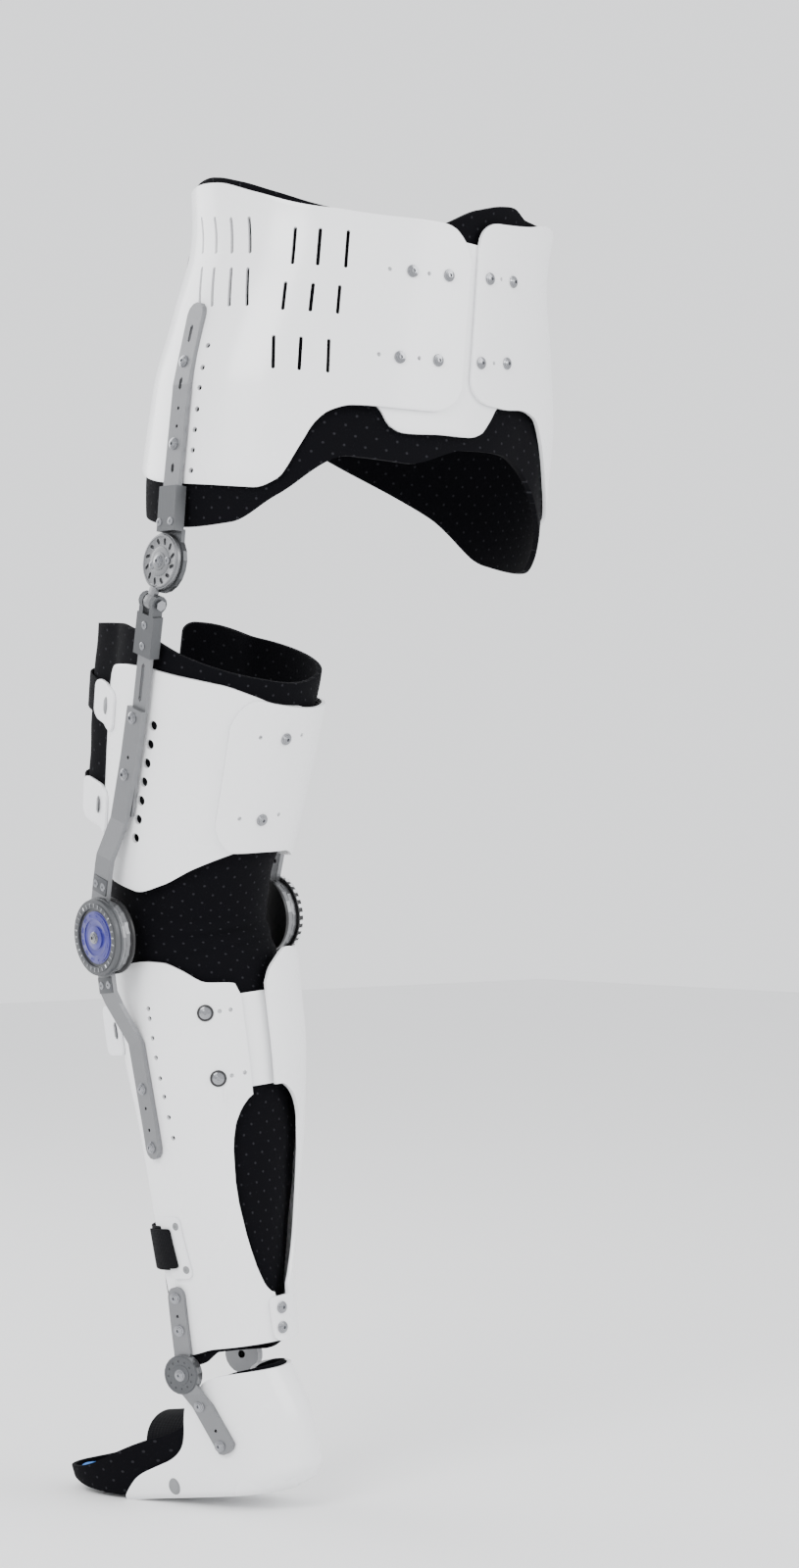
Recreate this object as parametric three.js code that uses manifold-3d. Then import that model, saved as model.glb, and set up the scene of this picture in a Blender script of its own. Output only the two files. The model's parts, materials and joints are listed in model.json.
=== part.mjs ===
// A hip, knee, ankle and foot brace for the left leg, as it stands when worn.
// Millimetres. The origin is the middle of the pelvic band.
// +X is the wearer's left (the braced side), +Y is the wearer's back, +Z is up.

import * as THREE from 'three';
import { mergeVertices } from 'three/addons/utils/BufferGeometryUtils.js';
import Module from 'manifold-3d';

const wasm = await Module();
wasm.setup();

// Overall sizes of the four segments
const bandReach = 150;
const bandHalfWidth = 210;
const bandHalfDepth = 140;
const thighLength = 313;
const thighHalfWidth = 96;
const shankLength = 404;
const calfHalfWidth = 84;
const footLength = 272;
const footHalfWidth = 46;
const soleDrop = 115;

// How the brace stands at rest, in degrees
const pelvisTilt = 4.8;
const hipFlexed = 17.6;
const hipAdducted = 10.4;
const kneeFlexed = 23.1;
const ankleTurned = 22.5;

// Where the joints lie
const hipSide = 209;
const hipBack = -12;
const hipUp = -216;
const boltDrop = 37;
const kneeSide = 21.5;
const ankleSide = -34;
const ankleBack = -6;

// Walls and clearances
const clearance = 0.3;
const shellWall = 3.6;
const linerWall = 5;
const strapWall = 2;
const tabWall = 2.5;
const plateWall = 3.4;
const kneePadWall = 6;

// Metal bars
const hipBarWidth = 21;
const hipBarThick = 4.5;
const slideBarWidth = 20;
const slideBarThick = 3;
const kneeBarWidth = 23;
const calfBarWidth = 20;
const kneeBarThick = 4.5;
const ankleBarWidth = 17;
const ankleBarThick = 4;
const barScrewHole = 2.2;
const discParts = 20;
const pinParts = 12;

// Joints
const hipDiscRadius = 25;
const hipBackRadius = 27.5;
const hipDiscThick = 5.4;
const hipBackThick = 4.2;
const hubRadius = 36;
const hubThick = 5.3;
const hubPlateRadius = 33;
const hubBackThick = 4;
const ankleDiscRadius = 18;
const pinRadius = 5;
const boltRadius = 3;
const earGap = 9.6;
const earWall = 6;
const earRadius = 8;

// Screws that hold the shells to the plates below them
const screwHead = 5.5;
const screwDome = 3;
const screwShank = 2.4;

// Degrees between the columns of the pelvic band and of the two cuffs
const bandStep = 10;
const cuffStep = 15;

const shellWhite = { color: 0xf1f2f4, roughness: 0.32, metalness: 0 };
const tabWhite = { color: 0xe9ebee, roughness: 0.4, metalness: 0 };
const linerBlack = { color: 0x0d0d11, roughness: 0.9, metalness: 0 };
const strapBlack = { color: 0x111114, roughness: 0.8, metalness: 0 };
const barGrey = { color: 0xa9acb0, roughness: 0.38, metalness: 0.9 };
const housingGrey = { color: 0x8d9094, roughness: 0.42, metalness: 0.9 };
const chrome = { color: 0xd5d8dc, roughness: 0.15, metalness: 1 };
const hubViolet = { color: 0x6a6fb5, roughness: 0.35, metalness: 0.4 };
const insoleBlue = { color: 0x1f6fb5, roughness: 0.8, metalness: 0 };

// Sections of each segment. Lengths are shares: up of its length, wide and deep of its half
// width, side and back of the same half width. turn is in degrees about the upright line.
const bandSections = [
  { up: -1.27, wide: 0.962, deep: 0.943, side: 0, back: 0, turn: 0 },
  { up: -0.9, wide: 0.995, deep: 0.985, side: 0, back: 0, turn: 0 },
  { up: -0.4, wide: 0.997, deep: 0.993, side: 0, back: 0, turn: 0 },
  { up: 0.1, wide: 0.933, deep: 1.002, side: 0, back: 0, turn: 0 },
  { up: 0.6, wide: 0.858, deep: 1.007, side: 0, back: 0, turn: 0 },
  { up: 1, wide: 0.888, deep: 1.03, side: 0, back: 0, turn: 0 },
];
const thighSections = [
  { up: -0.87, wide: 0.83, deep: 0.865, side: -0.835, back: -0.06, turn: 0 },
  { up: -0.67, wide: 0.9, deep: 0.943, side: -0.905, back: -0.135, turn: 0 },
  { up: -0.28, wide: 0.992, deep: 1.045, side: -0.997, back: -0.216, turn: 0 },
  { up: -0.05, wide: 1.01, deep: 1.063, side: -1.015, back: -0.23, turn: 0 },
];
const calfSections = [
  { up: -1.03, wide: 0.536, deep: 0.69, side: -1.119, back: -0.036, turn: 22.5 },
  { up: -0.842, wide: 0.607, deep: 0.738, side: -1.113, back: -0.024, turn: 20 },
  { up: -0.693, wide: 0.714, deep: 0.798, side: -1.173, back: -0.012, turn: 12 },
  { up: -0.446, wide: 0.881, deep: 0.917, side: -1.315, back: -0.036, turn: 3 },
  { up: -0.248, wide: 0.976, deep: 1.012, side: -1.369, back: -0.071, turn: 0 },
  { up: -0.05, wide: 1, deep: 1.012, side: -1.369, back: -0.048, turn: 0 },
];

const radians = THREE.MathUtils.degToRad;

function scaled(sections, length, halfWidth, halfDepth, turnStep) {
  const rows = sections.map((row) => ({
    up: row.up * length,
    wide: row.wide * halfWidth,
    deep: row.deep * halfDepth,
    side: row.side * halfWidth,
    back: row.back * halfWidth,
    turn: row.turn,
  }));
  return { rows, turnStep };
}

const band = scaled(bandSections, bandReach, bandHalfWidth, bandHalfDepth, bandStep);
const thigh = scaled(thighSections, thighLength, thighHalfWidth, thighHalfWidth, cuffStep);
const calf = scaled(calfSections, shankLength, calfHalfWidth, calfHalfWidth, cuffStep);

// The section of a form at one height, straight between the rows of its table
function sectionAt(form, up) {
  const rows = form.rows;
  let upper = rows.findIndex((row) => row.up > up);
  if (upper === -1) upper = rows.length - 1;
  upper = Math.max(upper, 1);
  const low = rows[upper - 1];
  const high = rows[upper];
  const share = (up - low.up) / (high.up - low.up);
  const mix = (name) => THREE.MathUtils.lerp(low[name], high[name], share);
  return { wide: mix('wide'), deep: mix('deep'), side: mix('side'), back: mix('back'), turn: mix('turn') };
}

// A point on a form: angle in degrees from the back towards the wearer's left,
// out is how far it stands off the form's surface
function pointOn(form, angle, up, out) {
  const cut = sectionAt(form, up);
  const a = radians(angle);
  const t = radians(cut.turn);
  const x = (cut.wide + out) * Math.sin(a);
  const y = (cut.deep + out) * Math.cos(a);
  return new THREE.Vector3(
    cut.side + x * Math.cos(t) - y * Math.sin(t),
    cut.back + x * Math.sin(t) + y * Math.cos(t),
    up,
  );
}

// How far a form reaches to one side at a height
function reachOn(form, up, side, out = 0) {
  const cut = sectionAt(form, up);
  const t = radians(cut.turn);
  return cut.side + side * Math.hypot((cut.wide + out) * Math.cos(t), (cut.deep + out) * Math.sin(t));
}

// Turns a closed indexed mesh into a solid and back
function solidOf(geometry) {
  geometry.deleteAttribute('normal');
  geometry.deleteAttribute('uv');
  const merged = mergeVertices(geometry, 1e-4);
  return new wasm.Manifold(new wasm.Mesh({
    numProp: 3,
    vertProperties: new Float32Array(merged.attributes.position.array),
    triVerts: new Uint32Array(merged.index.array),
  }));
}

function geometryOf(solid) {
  const mesh = solid.getMesh();
  const geometry = new THREE.BufferGeometry();
  geometry.setAttribute('position', new THREE.BufferAttribute(new Float32Array(mesh.vertProperties), 3));
  geometry.setIndex(new THREE.BufferAttribute(new Uint32Array(mesh.triVerts), 1));
  const flat = geometry.toNonIndexed();
  flat.computeVertexNormals();
  return flat;
}

function gridGeometry(points, faces) {
  const geometry = new THREE.BufferGeometry();
  geometry.setAttribute('position', new THREE.Float32BufferAttribute(points.flatMap((p) => p.toArray()), 3));
  geometry.setIndex(faces);
  return geometry;
}

// The end faces of a loft whose rings run up one side and back down the other
function pairedEnds(count) {
  const half = count / 2;
  const triangles = [[0, 1, count - 1], [half - 1, half, half + 1]];
  for (let i = 1; i < half - 1; i += 1) {
    triangles.push([i, i + 1, count - i], [i + 1, count - i - 1, count - i]);
  }
  return triangles;
}

// A closed loft through rings of equal counts, each ring anticlockwise seen from above
function loft(rings, ends) {
  const count = rings[0].length;
  const points = rings.flat();
  const faces = [];
  for (let level = 0; level < rings.length - 1; level += 1) {
    for (let i = 0; i < count; i += 1) {
      const a = level * count + i;
      const b = level * count + ((i + 1) % count);
      faces.push(a, b, b + count, a, b + count, a + count);
    }
  }
  const contour = rings[0].map((p) => new THREE.Vector2(p.x, p.y));
  const last = (rings.length - 1) * count;
  for (const [a, b, c] of ends ?? THREE.ShapeUtils.triangulateShape(contour, [])) {
    faces.push(a, c, b, last + a, last + b, last + c);
  }
  return solidOf(gridGeometry(points, faces));
}

// One ring of a form, anticlockwise from above
function ringOn(form, up, out, turnStep) {
  const ring = [];
  for (let angle = 360; angle > 0; angle -= turnStep) {
    const stand = typeof out === 'function' ? out(angle) : out;
    ring.push(pointOn(form, angle, up, stand));
  }
  return ring;
}

// A tube that follows a form between two stand-offs
function tubeOn(form, outer, inner, turnStep) {
  const outerRings = form.rows.map((row) => ringOn(form, row.up, outer, turnStep));
  const innerRings = form.rows.map((row) => ringOn(form, row.up, inner, turnStep));
  const lift = 1;
  innerRings[0].forEach((p) => p.setZ(p.z - lift));
  innerRings[innerRings.length - 1].forEach((p) => p.setZ(p.z + lift));
  return loft(outerRings).subtract(loft(innerRings));
}

// Edge columns of a patch: rows of angle, bottom and top, with its four corners rounded
function edgeColumns(form, rows, corner) {
  const first = rows[0].angle;
  const last = rows[rows.length - 1].angle;
  const middle = sectionAt(form, (rows[0].bottom + rows[0].top) / 2);
  const perDegree = radians(1) * (middle.wide + middle.deep) / 2;
  const widest = 24;
  const angles = new Set([last]);
  rows.slice(1).forEach((row, i) => {
    const start = rows[i].angle;
    const parts = Math.ceil((row.angle - start) / widest);
    for (let part = 0; part < parts; part += 1) angles.add(start + (row.angle - start) * part / parts);
  });
  const cornerSteps = corner > 12 ? 3 : 2;
  for (let i = 1; corner > 0 && i <= cornerSteps; i += 1) {
    const along = corner * (1 - Math.cos(Math.PI / 2 * i / cornerSteps)) / perDegree;
    angles.add(first + along);
    angles.add(last - along);
  }
  const edge = (angle, name) => {
    let next = rows.findIndex((row) => row.angle >= angle);
    next = Math.max(next === -1 ? rows.length - 1 : next, 1);
    const share = (angle - rows[next - 1].angle) / (rows[next].angle - rows[next - 1].angle);
    return THREE.MathUtils.lerp(rows[next - 1][name], rows[next][name], share);
  };
  return [...angles].sort((a, b) => a - b).map((angle) => {
    const along = Math.min(angle - first, last - angle) * perDegree;
    const inside = Math.max(corner - along, 0);
    const pull = corner - Math.sqrt(Math.max(corner * corner - inside * inside, 0));
    return { angle, bottom: edge(angle, 'bottom') + pull, top: edge(angle, 'top') - pull };
  });
}

// A thick block that runs through a form's wall and has the outline of a patch
function patchBlock(form, rows, corner) {
  const reach = 26;
  const columns = edgeColumns(form, rows, corner);
  const points = columns.flatMap(({ angle, bottom, top }) => [
    pointOn(form, angle, bottom, -reach),
    pointOn(form, angle, bottom, reach),
    pointOn(form, angle, top, reach),
    pointOn(form, angle, top, -reach),
  ]);
  const faces = [0, 2, 1, 0, 3, 2];
  for (let i = 0; i < columns.length - 1; i += 1) {
    for (let side = 0; side < 4; side += 1) {
      const a = i * 4 + side;
      const b = i * 4 + ((side + 1) % 4);
      faces.push(a, b, b + 4, a, b + 4, a + 4);
    }
  }
  const end = (columns.length - 1) * 4;
  faces.push(end, end + 1, end + 2, end, end + 2, end + 3);
  return solidOf(gridGeometry(points, faces));
}

// A wall that follows a form inside the outline of a patch
function wallOn(form, { rows, outer, inner, corner = 0, turnStep = form.turnStep }) {
  return tubeOn(form, outer, inner, turnStep).intersect(patchBlock(form, rows, corner));
}

// The place of something that sits square on a form: x round it, y up it, z out of it
function seatOn(form, angle, up, out) {
  const step = 1;
  const here = pointOn(form, angle, up, out);
  const round = pointOn(form, angle + step, up, out).sub(pointOn(form, angle - step, up, out)).normalize();
  const rise = pointOn(form, angle, up + step, out).sub(pointOn(form, angle, up - step, out)).normalize();
  const normal = new THREE.Vector3().crossVectors(rise, round).normalize();
  const flatRound = new THREE.Vector3().crossVectors(rise, normal);
  return new THREE.Matrix4().makeBasis(flatRound, rise, normal).setPosition(here);
}

// The outline of a slot, or of a round hole where length equals width
function slotShape(x, y, width, length) {
  const straight = (length - width) / 2;
  const parts = 3;
  const points = [];
  for (const end of [1, -1]) {
    for (let i = 0; i < parts; i += 1) {
      const turn = Math.PI * i / (length > width ? parts - 1 : parts);
      const px = x + end * Math.cos(turn) * width / 2;
      points.push(new THREE.Vector2(px, y + end * (straight + Math.sin(turn) * width / 2)));
    }
  }
  return new THREE.Shape(points);
}

// Cuts holes and slots square through a form's wall
function drilled(solid, form, cuts) {
  const depth = 40;
  let result = solid;
  for (const { angle, up, width, length = width } of cuts) {
    const geometry = new THREE.ExtrudeGeometry(slotShape(0, 0, width, length), { depth, bevelEnabled: false });
    geometry.translate(0, 0, -depth / 2);
    result = result.subtract(solidOf(geometry.applyMatrix4(seatOn(form, angle, up, 0))));
  }
  return result;
}

// Adds a named mesh to a group
function add(group, name, shape, finish) {
  const geometry = shape.isBufferGeometry ? shape : geometryOf(shape);
  const mesh = new THREE.Mesh(geometry, new THREE.MeshStandardMaterial(finish));
  mesh.name = name;
  group.add(mesh);
  return mesh;
}

// Bars are the common part of a side outline and a front outline.
// face: the inner face, rows of up and out. strip: rows of up, middle and width.
function barSolid({ face, thick, strip, disc, holes = [], side = 1, endRound = 0 }) {
  const wide = 200;
  const faceRows = face.map((row) => new THREE.Vector2(side * row.out, row.up));
  const backRows = face.map((row) => new THREE.Vector2(side * (row.out + thick), row.up)).reverse();
  const profile = new THREE.Shape(faceRows.concat(backRows));
  const profileSolid = new THREE.ExtrudeGeometry(profile, { depth: wide, bevelEnabled: false });
  profileSolid.translate(0, 0, -wide / 2);
  const sideways = new THREE.Matrix4().makeBasis(
    new THREE.Vector3(1, 0, 0),
    new THREE.Vector3(0, 0, 1),
    new THREE.Vector3(0, -1, 0),
  );
  const bent = solidOf(profileSolid.applyMatrix4(sideways));
  let outline = frontSolid(stripShape(strip, endRound));
  if (disc) {
    outline = outline.add(frontSolid(circleShape(disc.middle, disc.up, disc.radius, discParts)));
  }
  for (const { middle, up, width, length = width } of holes) {
    const isPin = width > 6;
    const hole = isPin ? circleShape(middle, up, width / 2, pinParts) : slotShape(middle, up, width, length);
    outline = outline.subtract(frontSolid(hole));
  }
  return bent.intersect(outline);
}

function stripShape(strip, endRound) {
  const left = strip.map((row) => new THREE.Vector2(row.middle - row.width / 2, row.up));
  const right = strip.map((row) => new THREE.Vector2(row.middle + row.width / 2, row.up)).reverse();
  if (endRound <= 0) return new THREE.Shape(left.concat(right));
  const end = strip[strip.length - 1];
  const before = strip[strip.length - 2];
  const away = new THREE.Vector2(end.middle - before.middle, end.up - before.up).normalize();
  const across = new THREE.Vector2(-away.y, away.x);
  const round = [];
  const parts = 6;
  for (let i = 1; i < parts; i += 1) {
    const turn = Math.PI * i / parts;
    const reach = Math.sin(turn) * endRound;
    const sideways = -Math.cos(turn) * end.width / 2 * Math.sign(across.x);
    round.push(new THREE.Vector2(end.middle, end.up)
      .addScaledVector(away, reach)
      .addScaledVector(across, sideways));
  }
  return new THREE.Shape(left.concat(round, right));
}

function circleShape(x, y, radius, parts) {
  const points = [];
  for (let i = 0; i < parts; i += 1) {
    const turn = 2 * Math.PI * i / parts;
    points.push(new THREE.Vector2(x + radius * Math.cos(turn), y + radius * Math.sin(turn)));
  }
  return new THREE.Shape(points);
}

// Extrudes an outline drawn in the Y Z plane right through along X
function frontSolid(shape, from = -400, to = 400) {
  const geometry = new THREE.ExtrudeGeometry(shape, { depth: to - from, bevelEnabled: false });
  geometry.translate(0, 0, from);
  const forward = new THREE.Matrix4().makeBasis(
    new THREE.Vector3(0, 1, 0),
    new THREE.Vector3(0, 0, 1),
    new THREE.Vector3(1, 0, 0),
  );
  return solidOf(geometry.applyMatrix4(forward));
}

// A cylinder along X from one place to another
function discAlongX(radius, from, to, parts = discParts, up = 0) {
  const geometry = new THREE.CylinderGeometry(radius, radius, Math.abs(to - from), parts);
  geometry.rotateZ(Math.PI / 2);
  geometry.translate((from + to) / 2, 0, up);
  return solidOf(geometry);
}

// A cylinder along Y
function rodAlongY(radius, length, { parts = pinParts, back = 0, up = 0 } = {}) {
  const geometry = new THREE.CylinderGeometry(radius, radius, length, parts);
  return solidOf(geometry.translate(0, back, up));
}

function block(x0, x1, y0, y1, z0, z1) {
  const geometry = new THREE.BoxGeometry(x1 - x0, y1 - y0, z1 - z0);
  geometry.translate((x0 + x1) / 2, (y0 + y1) / 2, (z0 + z1) / 2);
  return solidOf(geometry);
}

// A domed screw whose head rests at z = 0, with its shank below
function screwGeometry(shankLength) {
  const profile = [
    [0, -shankLength],
    [screwShank, -shankLength],
    [screwShank, 0],
    [screwHead, 0],
    [screwHead * 0.8, screwDome * 0.7],
    [0, screwDome],
  ];
  const geometry = new THREE.LatheGeometry(profile.map(([x, y]) => new THREE.Vector2(x, y)), 8);
  return geometry.rotateX(Math.PI / 2);
}

function addScrew(group, name, form, { angle, up }, out, shankLength) {
  const mesh = add(group, name, geometryOf(solidOf(screwGeometry(shankLength))), chrome);
  mesh.applyMatrix4(seatOn(form, angle, up, out + clearance));
}

// Pelvic band: two shells, the plate behind them, the liner, the straps and the hip bar
const brace = new THREE.Group();
const pelvis = new THREE.Group();
pelvis.rotation.y = -radians(pelvisTilt);
brace.add(pelvis);

const shellInner = -shellWall;
const plateOuter = -shellWall - clearance;
const plateInner = plateOuter - plateWall;
const linerOuter = -shellWall - clearance;
const linerInner = linerOuter - linerWall;
const shellOver = clearance;
const frontEdge = 138;

// Heights are shares of bandReach
const bandEdge = (rows) => rows.map(({ angle, bottom, top }) => ({
  angle,
  bottom: bottom * bandReach,
  top: top * bandReach,
}));
const leftShellEdge = bandEdge([
  { angle: 1, bottom: -0.42, top: 0.73 },
  { angle: 12, bottom: -0.45, top: 0.78 },
  { angle: 33, bottom: -0.475, top: 0.755 },
  { angle: 39, bottom: -0.52, top: 0.75 },
  { angle: 43, bottom: -0.6, top: 0.75 },
  { angle: 47, bottom: -0.74, top: 0.75 },
  { angle: 53, bottom: -0.94, top: 0.76 },
  { angle: 60, bottom: -1, top: 0.765 },
  { angle: 75, bottom: -0.99, top: 0.82 },
  { angle: 92, bottom: -0.965, top: 0.88 },
  { angle: 108, bottom: -0.88, top: 0.89 },
  { angle: 122, bottom: -0.7, top: 0.87 },
  { angle: frontEdge, bottom: -0.53, top: 0.8 },
]);
const rightShellEdge = bandEdge([
  { angle: -frontEdge, bottom: -0.53, top: 0.8 },
  { angle: -122, bottom: -0.62, top: 0.87 },
  { angle: -100, bottom: -0.8, top: 0.89 },
  { angle: -75, bottom: -0.88, top: 0.89 },
  { angle: -58, bottom: -0.86, top: 0.89 },
  { angle: -47, bottom: -0.72, top: 0.885 },
  { angle: -37, bottom: -0.45, top: 0.87 },
  { angle: -31, bottom: -0.33, top: 0.84 },
  { angle: -25, bottom: -0.31, top: 0.81 },
  { angle: -14, bottom: -0.34, top: 0.77 },
  { angle: -2, bottom: -0.34, top: 0.74 },
]);
const lumbarPlateEdge = bandEdge([
  { angle: -25, bottom: -0.28, top: 0.6 },
  { angle: -14, bottom: -0.32, top: 0.6 },
  { angle: -11, bottom: -0.42, top: 0.6 },
  { angle: -8, bottom: -0.51, top: 0.6 },
  { angle: -4, bottom: -0.55, top: 0.6 },
  { angle: 6, bottom: -0.57, top: 0.6 },
  { angle: 17, bottom: -0.595, top: 0.6 },
  { angle: 21, bottom: -0.565, top: 0.6 },
  { angle: 24, bottom: -0.48, top: 0.6 },
  { angle: 29, bottom: -0.4, top: 0.6 },
]);
const bandLinerEdge = bandEdge([
  { angle: -168, bottom: -0.4, top: 0.75 },
  { angle: -122, bottom: -0.8, top: 0.92 },
  { angle: -100, bottom: -1.1, top: 0.96 },
  { angle: -72, bottom: -1.18, top: 0.96 },
  { angle: -48, bottom: -0.95, top: 0.96 },
  { angle: -27, bottom: -0.64, top: 0.93 },
  { angle: -10, bottom: -0.59, top: 0.85 },
  { angle: 4, bottom: -0.67, top: 0.79 },
  { angle: 15, bottom: -0.765, top: 0.74 },
  { angle: 32, bottom: -0.765, top: 0.765 },
  { angle: 53, bottom: -1.03, top: 0.81 },
  { angle: 68, bottom: -1.2, top: 0.86 },
  { angle: 84, bottom: -1.23, top: 0.91 },
  { angle: 100, bottom: -1.19, top: 0.94 },
  { angle: 117, bottom: -1, top: 0.93 },
  { angle: 168, bottom: -0.4, top: 0.75 },
]);

// The plate lies between the shells and the liner, so the liner gives way behind it
const plateDip = plateWall + 2 * clearance;
function bandLinerDip(angle) {
  const turned = angle > 180 ? angle - 360 : angle;
  const past = Math.max(Math.abs(turned - 2) - 30, 0);
  return plateDip * THREE.MathUtils.clamp(1 - past / 10, 0, 1);
}

const lumbarScrews = [
  { angle: 20.4, up: 0.36 },
  { angle: 8.7, up: 0.375 },
  { angle: -6.5, up: 0.415 },
  { angle: -17.3, up: 0.44 },
  { angle: 20.6, up: -0.16 },
  { angle: 9.4, up: -0.14 },
  { angle: -4.8, up: -0.1 },
  { angle: -15.1, up: -0.06 },
].map(({ angle, up }) => ({ angle, up: up * bandReach }));
const screwHole = 2.35 * (screwShank + clearance);
const lumbarScrewHoles = lumbarScrews.map(({ angle, up }) => ({ angle, up, width: screwHole }));
const leftCuts = lumbarScrewHoles.filter(({ angle }) => angle > 1);
const slotWidth = 3.4;
const sideSlotStep = 7.6;
for (let column = 0; column < 4; column += 1) {
  const lean = 1 - column / 3;
  const angle = 74.5 + sideSlotStep * column;
  leftCuts.push({ angle: angle + lean, up: 0.52 * bandReach, width: slotWidth, length: 32 });
  leftCuts.push({ angle: angle - 3, up: 0.2 * bandReach, width: slotWidth, length: 34 });
}
const middleSlotStep = 8.2;
for (let column = 0; column < 3; column += 1) {
  const angle = 40.5 + middleSlotStep * column;
  leftCuts.push({ angle, up: 0.445 * bandReach, width: slotWidth, length: 31 });
  leftCuts.push({ angle: angle - 0.8, up: 0.135 * bandReach, width: slotWidth, length: 26 });
  leftCuts.push({ angle: angle - 1.2, up: -0.21 * bandReach, width: slotWidth, length: 29 });
}
const rightCuts = lumbarScrewHoles.filter(({ angle }) => angle < 0);

add(pelvis, 'pelvic_shell_left', drilled(
  wallOn(band, { rows: leftShellEdge, outer: 0, inner: shellInner, corner: 24 }),
  band,
  leftCuts,
), shellWhite);
add(pelvis, 'pelvic_shell_right', drilled(
  wallOn(band, { rows: rightShellEdge, outer: 0, inner: shellInner, corner: 20 }),
  band,
  rightCuts,
), shellWhite);
add(pelvis, 'lumbar_plate', drilled(
  wallOn(band, { rows: lumbarPlateEdge, outer: plateOuter, inner: plateInner, corner: 6 }),
  band,
  lumbarScrewHoles,
), shellWhite);
add(pelvis, 'pelvic_liner', wallOn(band, {
  rows: bandLinerEdge,
  outer: (angle) => linerOuter - bandLinerDip(angle),
  inner: (angle) => linerInner - bandLinerDip(angle),
  turnStep: 2 * bandStep,
  corner: 10,
}), linerBlack);
lumbarScrews.forEach((place, i) => {
  addScrew(pelvis, `lumbar_screw_${i + 1}`, band, place, 0, shellWall + clearance + plateWall);
});

// Front closure straps lie on the shells
const frontStrapEnd = 116;
const frontStraps = { pelvic_strap_upper: [0.22, 0.56], pelvic_strap_lower: [-0.36, -0.02] };
for (const [name, [bottom, top]] of Object.entries(frontStraps)) {
  const rows = bandEdge([{ angle: frontStrapEnd, bottom, top }, { angle: 360 - frontStrapEnd, bottom, top }]);
  add(pelvis, name, wallOn(band, { rows, outer: clearance + strapWall, inner: clearance, corner: 12 }), strapBlack);
}

// Hip bar and socket, in the frame of the hip disc
const hipPlace = new THREE.Vector3(hipSide, hipBack, hipUp);
const hipFrame = new THREE.Group();
hipFrame.position.copy(hipPlace);
pelvis.add(hipFrame);

const housingLow = 26;
const housingHigh = 66;
const housingBack = 10;
const housingHalf = 12;
const barLow = 46;
const barHigh = 232;
const barMiddle = 13;
const bandSide = (up) => reachOn(band, up + hipUp, 1) - hipSide + clearance;
const barRows = band.rows.slice(1, 4).map((row) => row.up);
const barBase = Math.max(...barRows.map((up) => bandSide(up - hipUp)));
const hipBarFace = [
  { up: barLow - 1, out: barBase },
  { up: barRows[1] - hipUp, out: barBase },
  { up: barRows[2] - hipUp, out: bandSide(barRows[2] - hipUp) },
  { up: barHigh + 20, out: bandSide(barHigh + 20) },
];
add(hipFrame, 'hip_bar', barSolid({
  face: hipBarFace,
  thick: hipBarThick,
  strip: [
    { up: barLow, middle: housingBack, width: hipBarWidth },
    { up: housingHigh + 3, middle: housingBack, width: hipBarWidth },
    { up: 150, middle: barMiddle + 1, width: hipBarWidth },
    { up: barHigh - hipBarWidth / 2, middle: barMiddle, width: hipBarWidth },
  ],
  endRound: hipBarWidth / 2,
  holes: [
    { up: 203, middle: barMiddle, width: 4, length: 17 },
    { up: 157, middle: barMiddle + 1, width: 4, length: 12 },
    { up: 135, middle: barMiddle + 0.6, width: 3.4 },
    { up: 119, middle: barMiddle, width: 3.4 },
    { up: 82, middle: barMiddle - 2, width: 4, length: 9 },
  ],
}), barGrey);

const linkInner = -1;
const linkOuter = linkInner + hipDiscThick;
const backOuter = linkInner - clearance;
const backInner = backOuter - hipBackThick;
const housingOuter = barBase + hipBarThick + 3;
const housingInner = backOuter - 2;
const slotGap = 2 * clearance;
const hipSocket = block(
  housingInner,
  housingOuter,
  housingBack - housingHalf,
  housingBack + housingHalf,
  housingLow,
  housingHigh,
)
  .subtract(block(
    barBase - clearance,
    barBase + hipBarThick + clearance,
    housingBack - hipBarWidth / 2 - slotGap,
    housingBack + hipBarWidth / 2 + slotGap,
    barLow - clearance,
    housingHigh + 1,
  ))
  .add(discAlongX(hipBackRadius, backInner, backOuter))
  .add(block(backInner, backOuter, housingBack - housingHalf, housingBack + housingHalf, 0, housingLow + 2))
  .subtract(discAlongX(pinRadius + clearance, backInner - 1, backOuter + 1, pinParts));
add(hipFrame, 'hip_socket', hipSocket, housingGrey);

// Hip link: the dial that flexes in the socket and carries the tongue of the abduction hinge
const hipLink = new THREE.Group();
hipLink.position.copy(hipPlace);
hipLink.rotation.x = -radians(hipFlexed);
pelvis.add(hipLink);

const dialHoleRing = 17;
let hipDial = discAlongX(hipDiscRadius, linkInner, linkOuter)
  .add(discAlongX(pinRadius, backInner, linkInner + 1, pinParts));
for (let i = 0; i < 10; i += 1) {
  const turn = radians(36 * i + 18);
  const hole = circleShape(dialHoleRing * Math.cos(turn), dialHoleRing * Math.sin(turn), 1.8, 5);
  hipDial = hipDial.subtract(frontSolid(hole, linkInner + 2, linkOuter + 1));
}
const tongueHalf = earGap / 2 - clearance;
const tongue = block(linkInner, linkOuter, -tongueHalf, tongueHalf, -boltDrop, -hipDiscRadius + 4)
  .add(rodAlongY(earRadius - 0.5, 2 * tongueHalf, { up: -boltDrop }));
hipDial = hipDial.add(tongue)
  .subtract(rodAlongY(boltRadius + clearance, 4 * tongueHalf, { up: -boltDrop }));
add(hipLink, 'hip_dial', hipDial, barGrey);

// Thigh segment, hung from the bolt of the abduction hinge
const thighFrame = new THREE.Group();
thighFrame.position.set(0, 0, -boltDrop);
thighFrame.rotation.y = radians(hipAdducted);
hipLink.add(thighFrame);

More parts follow.
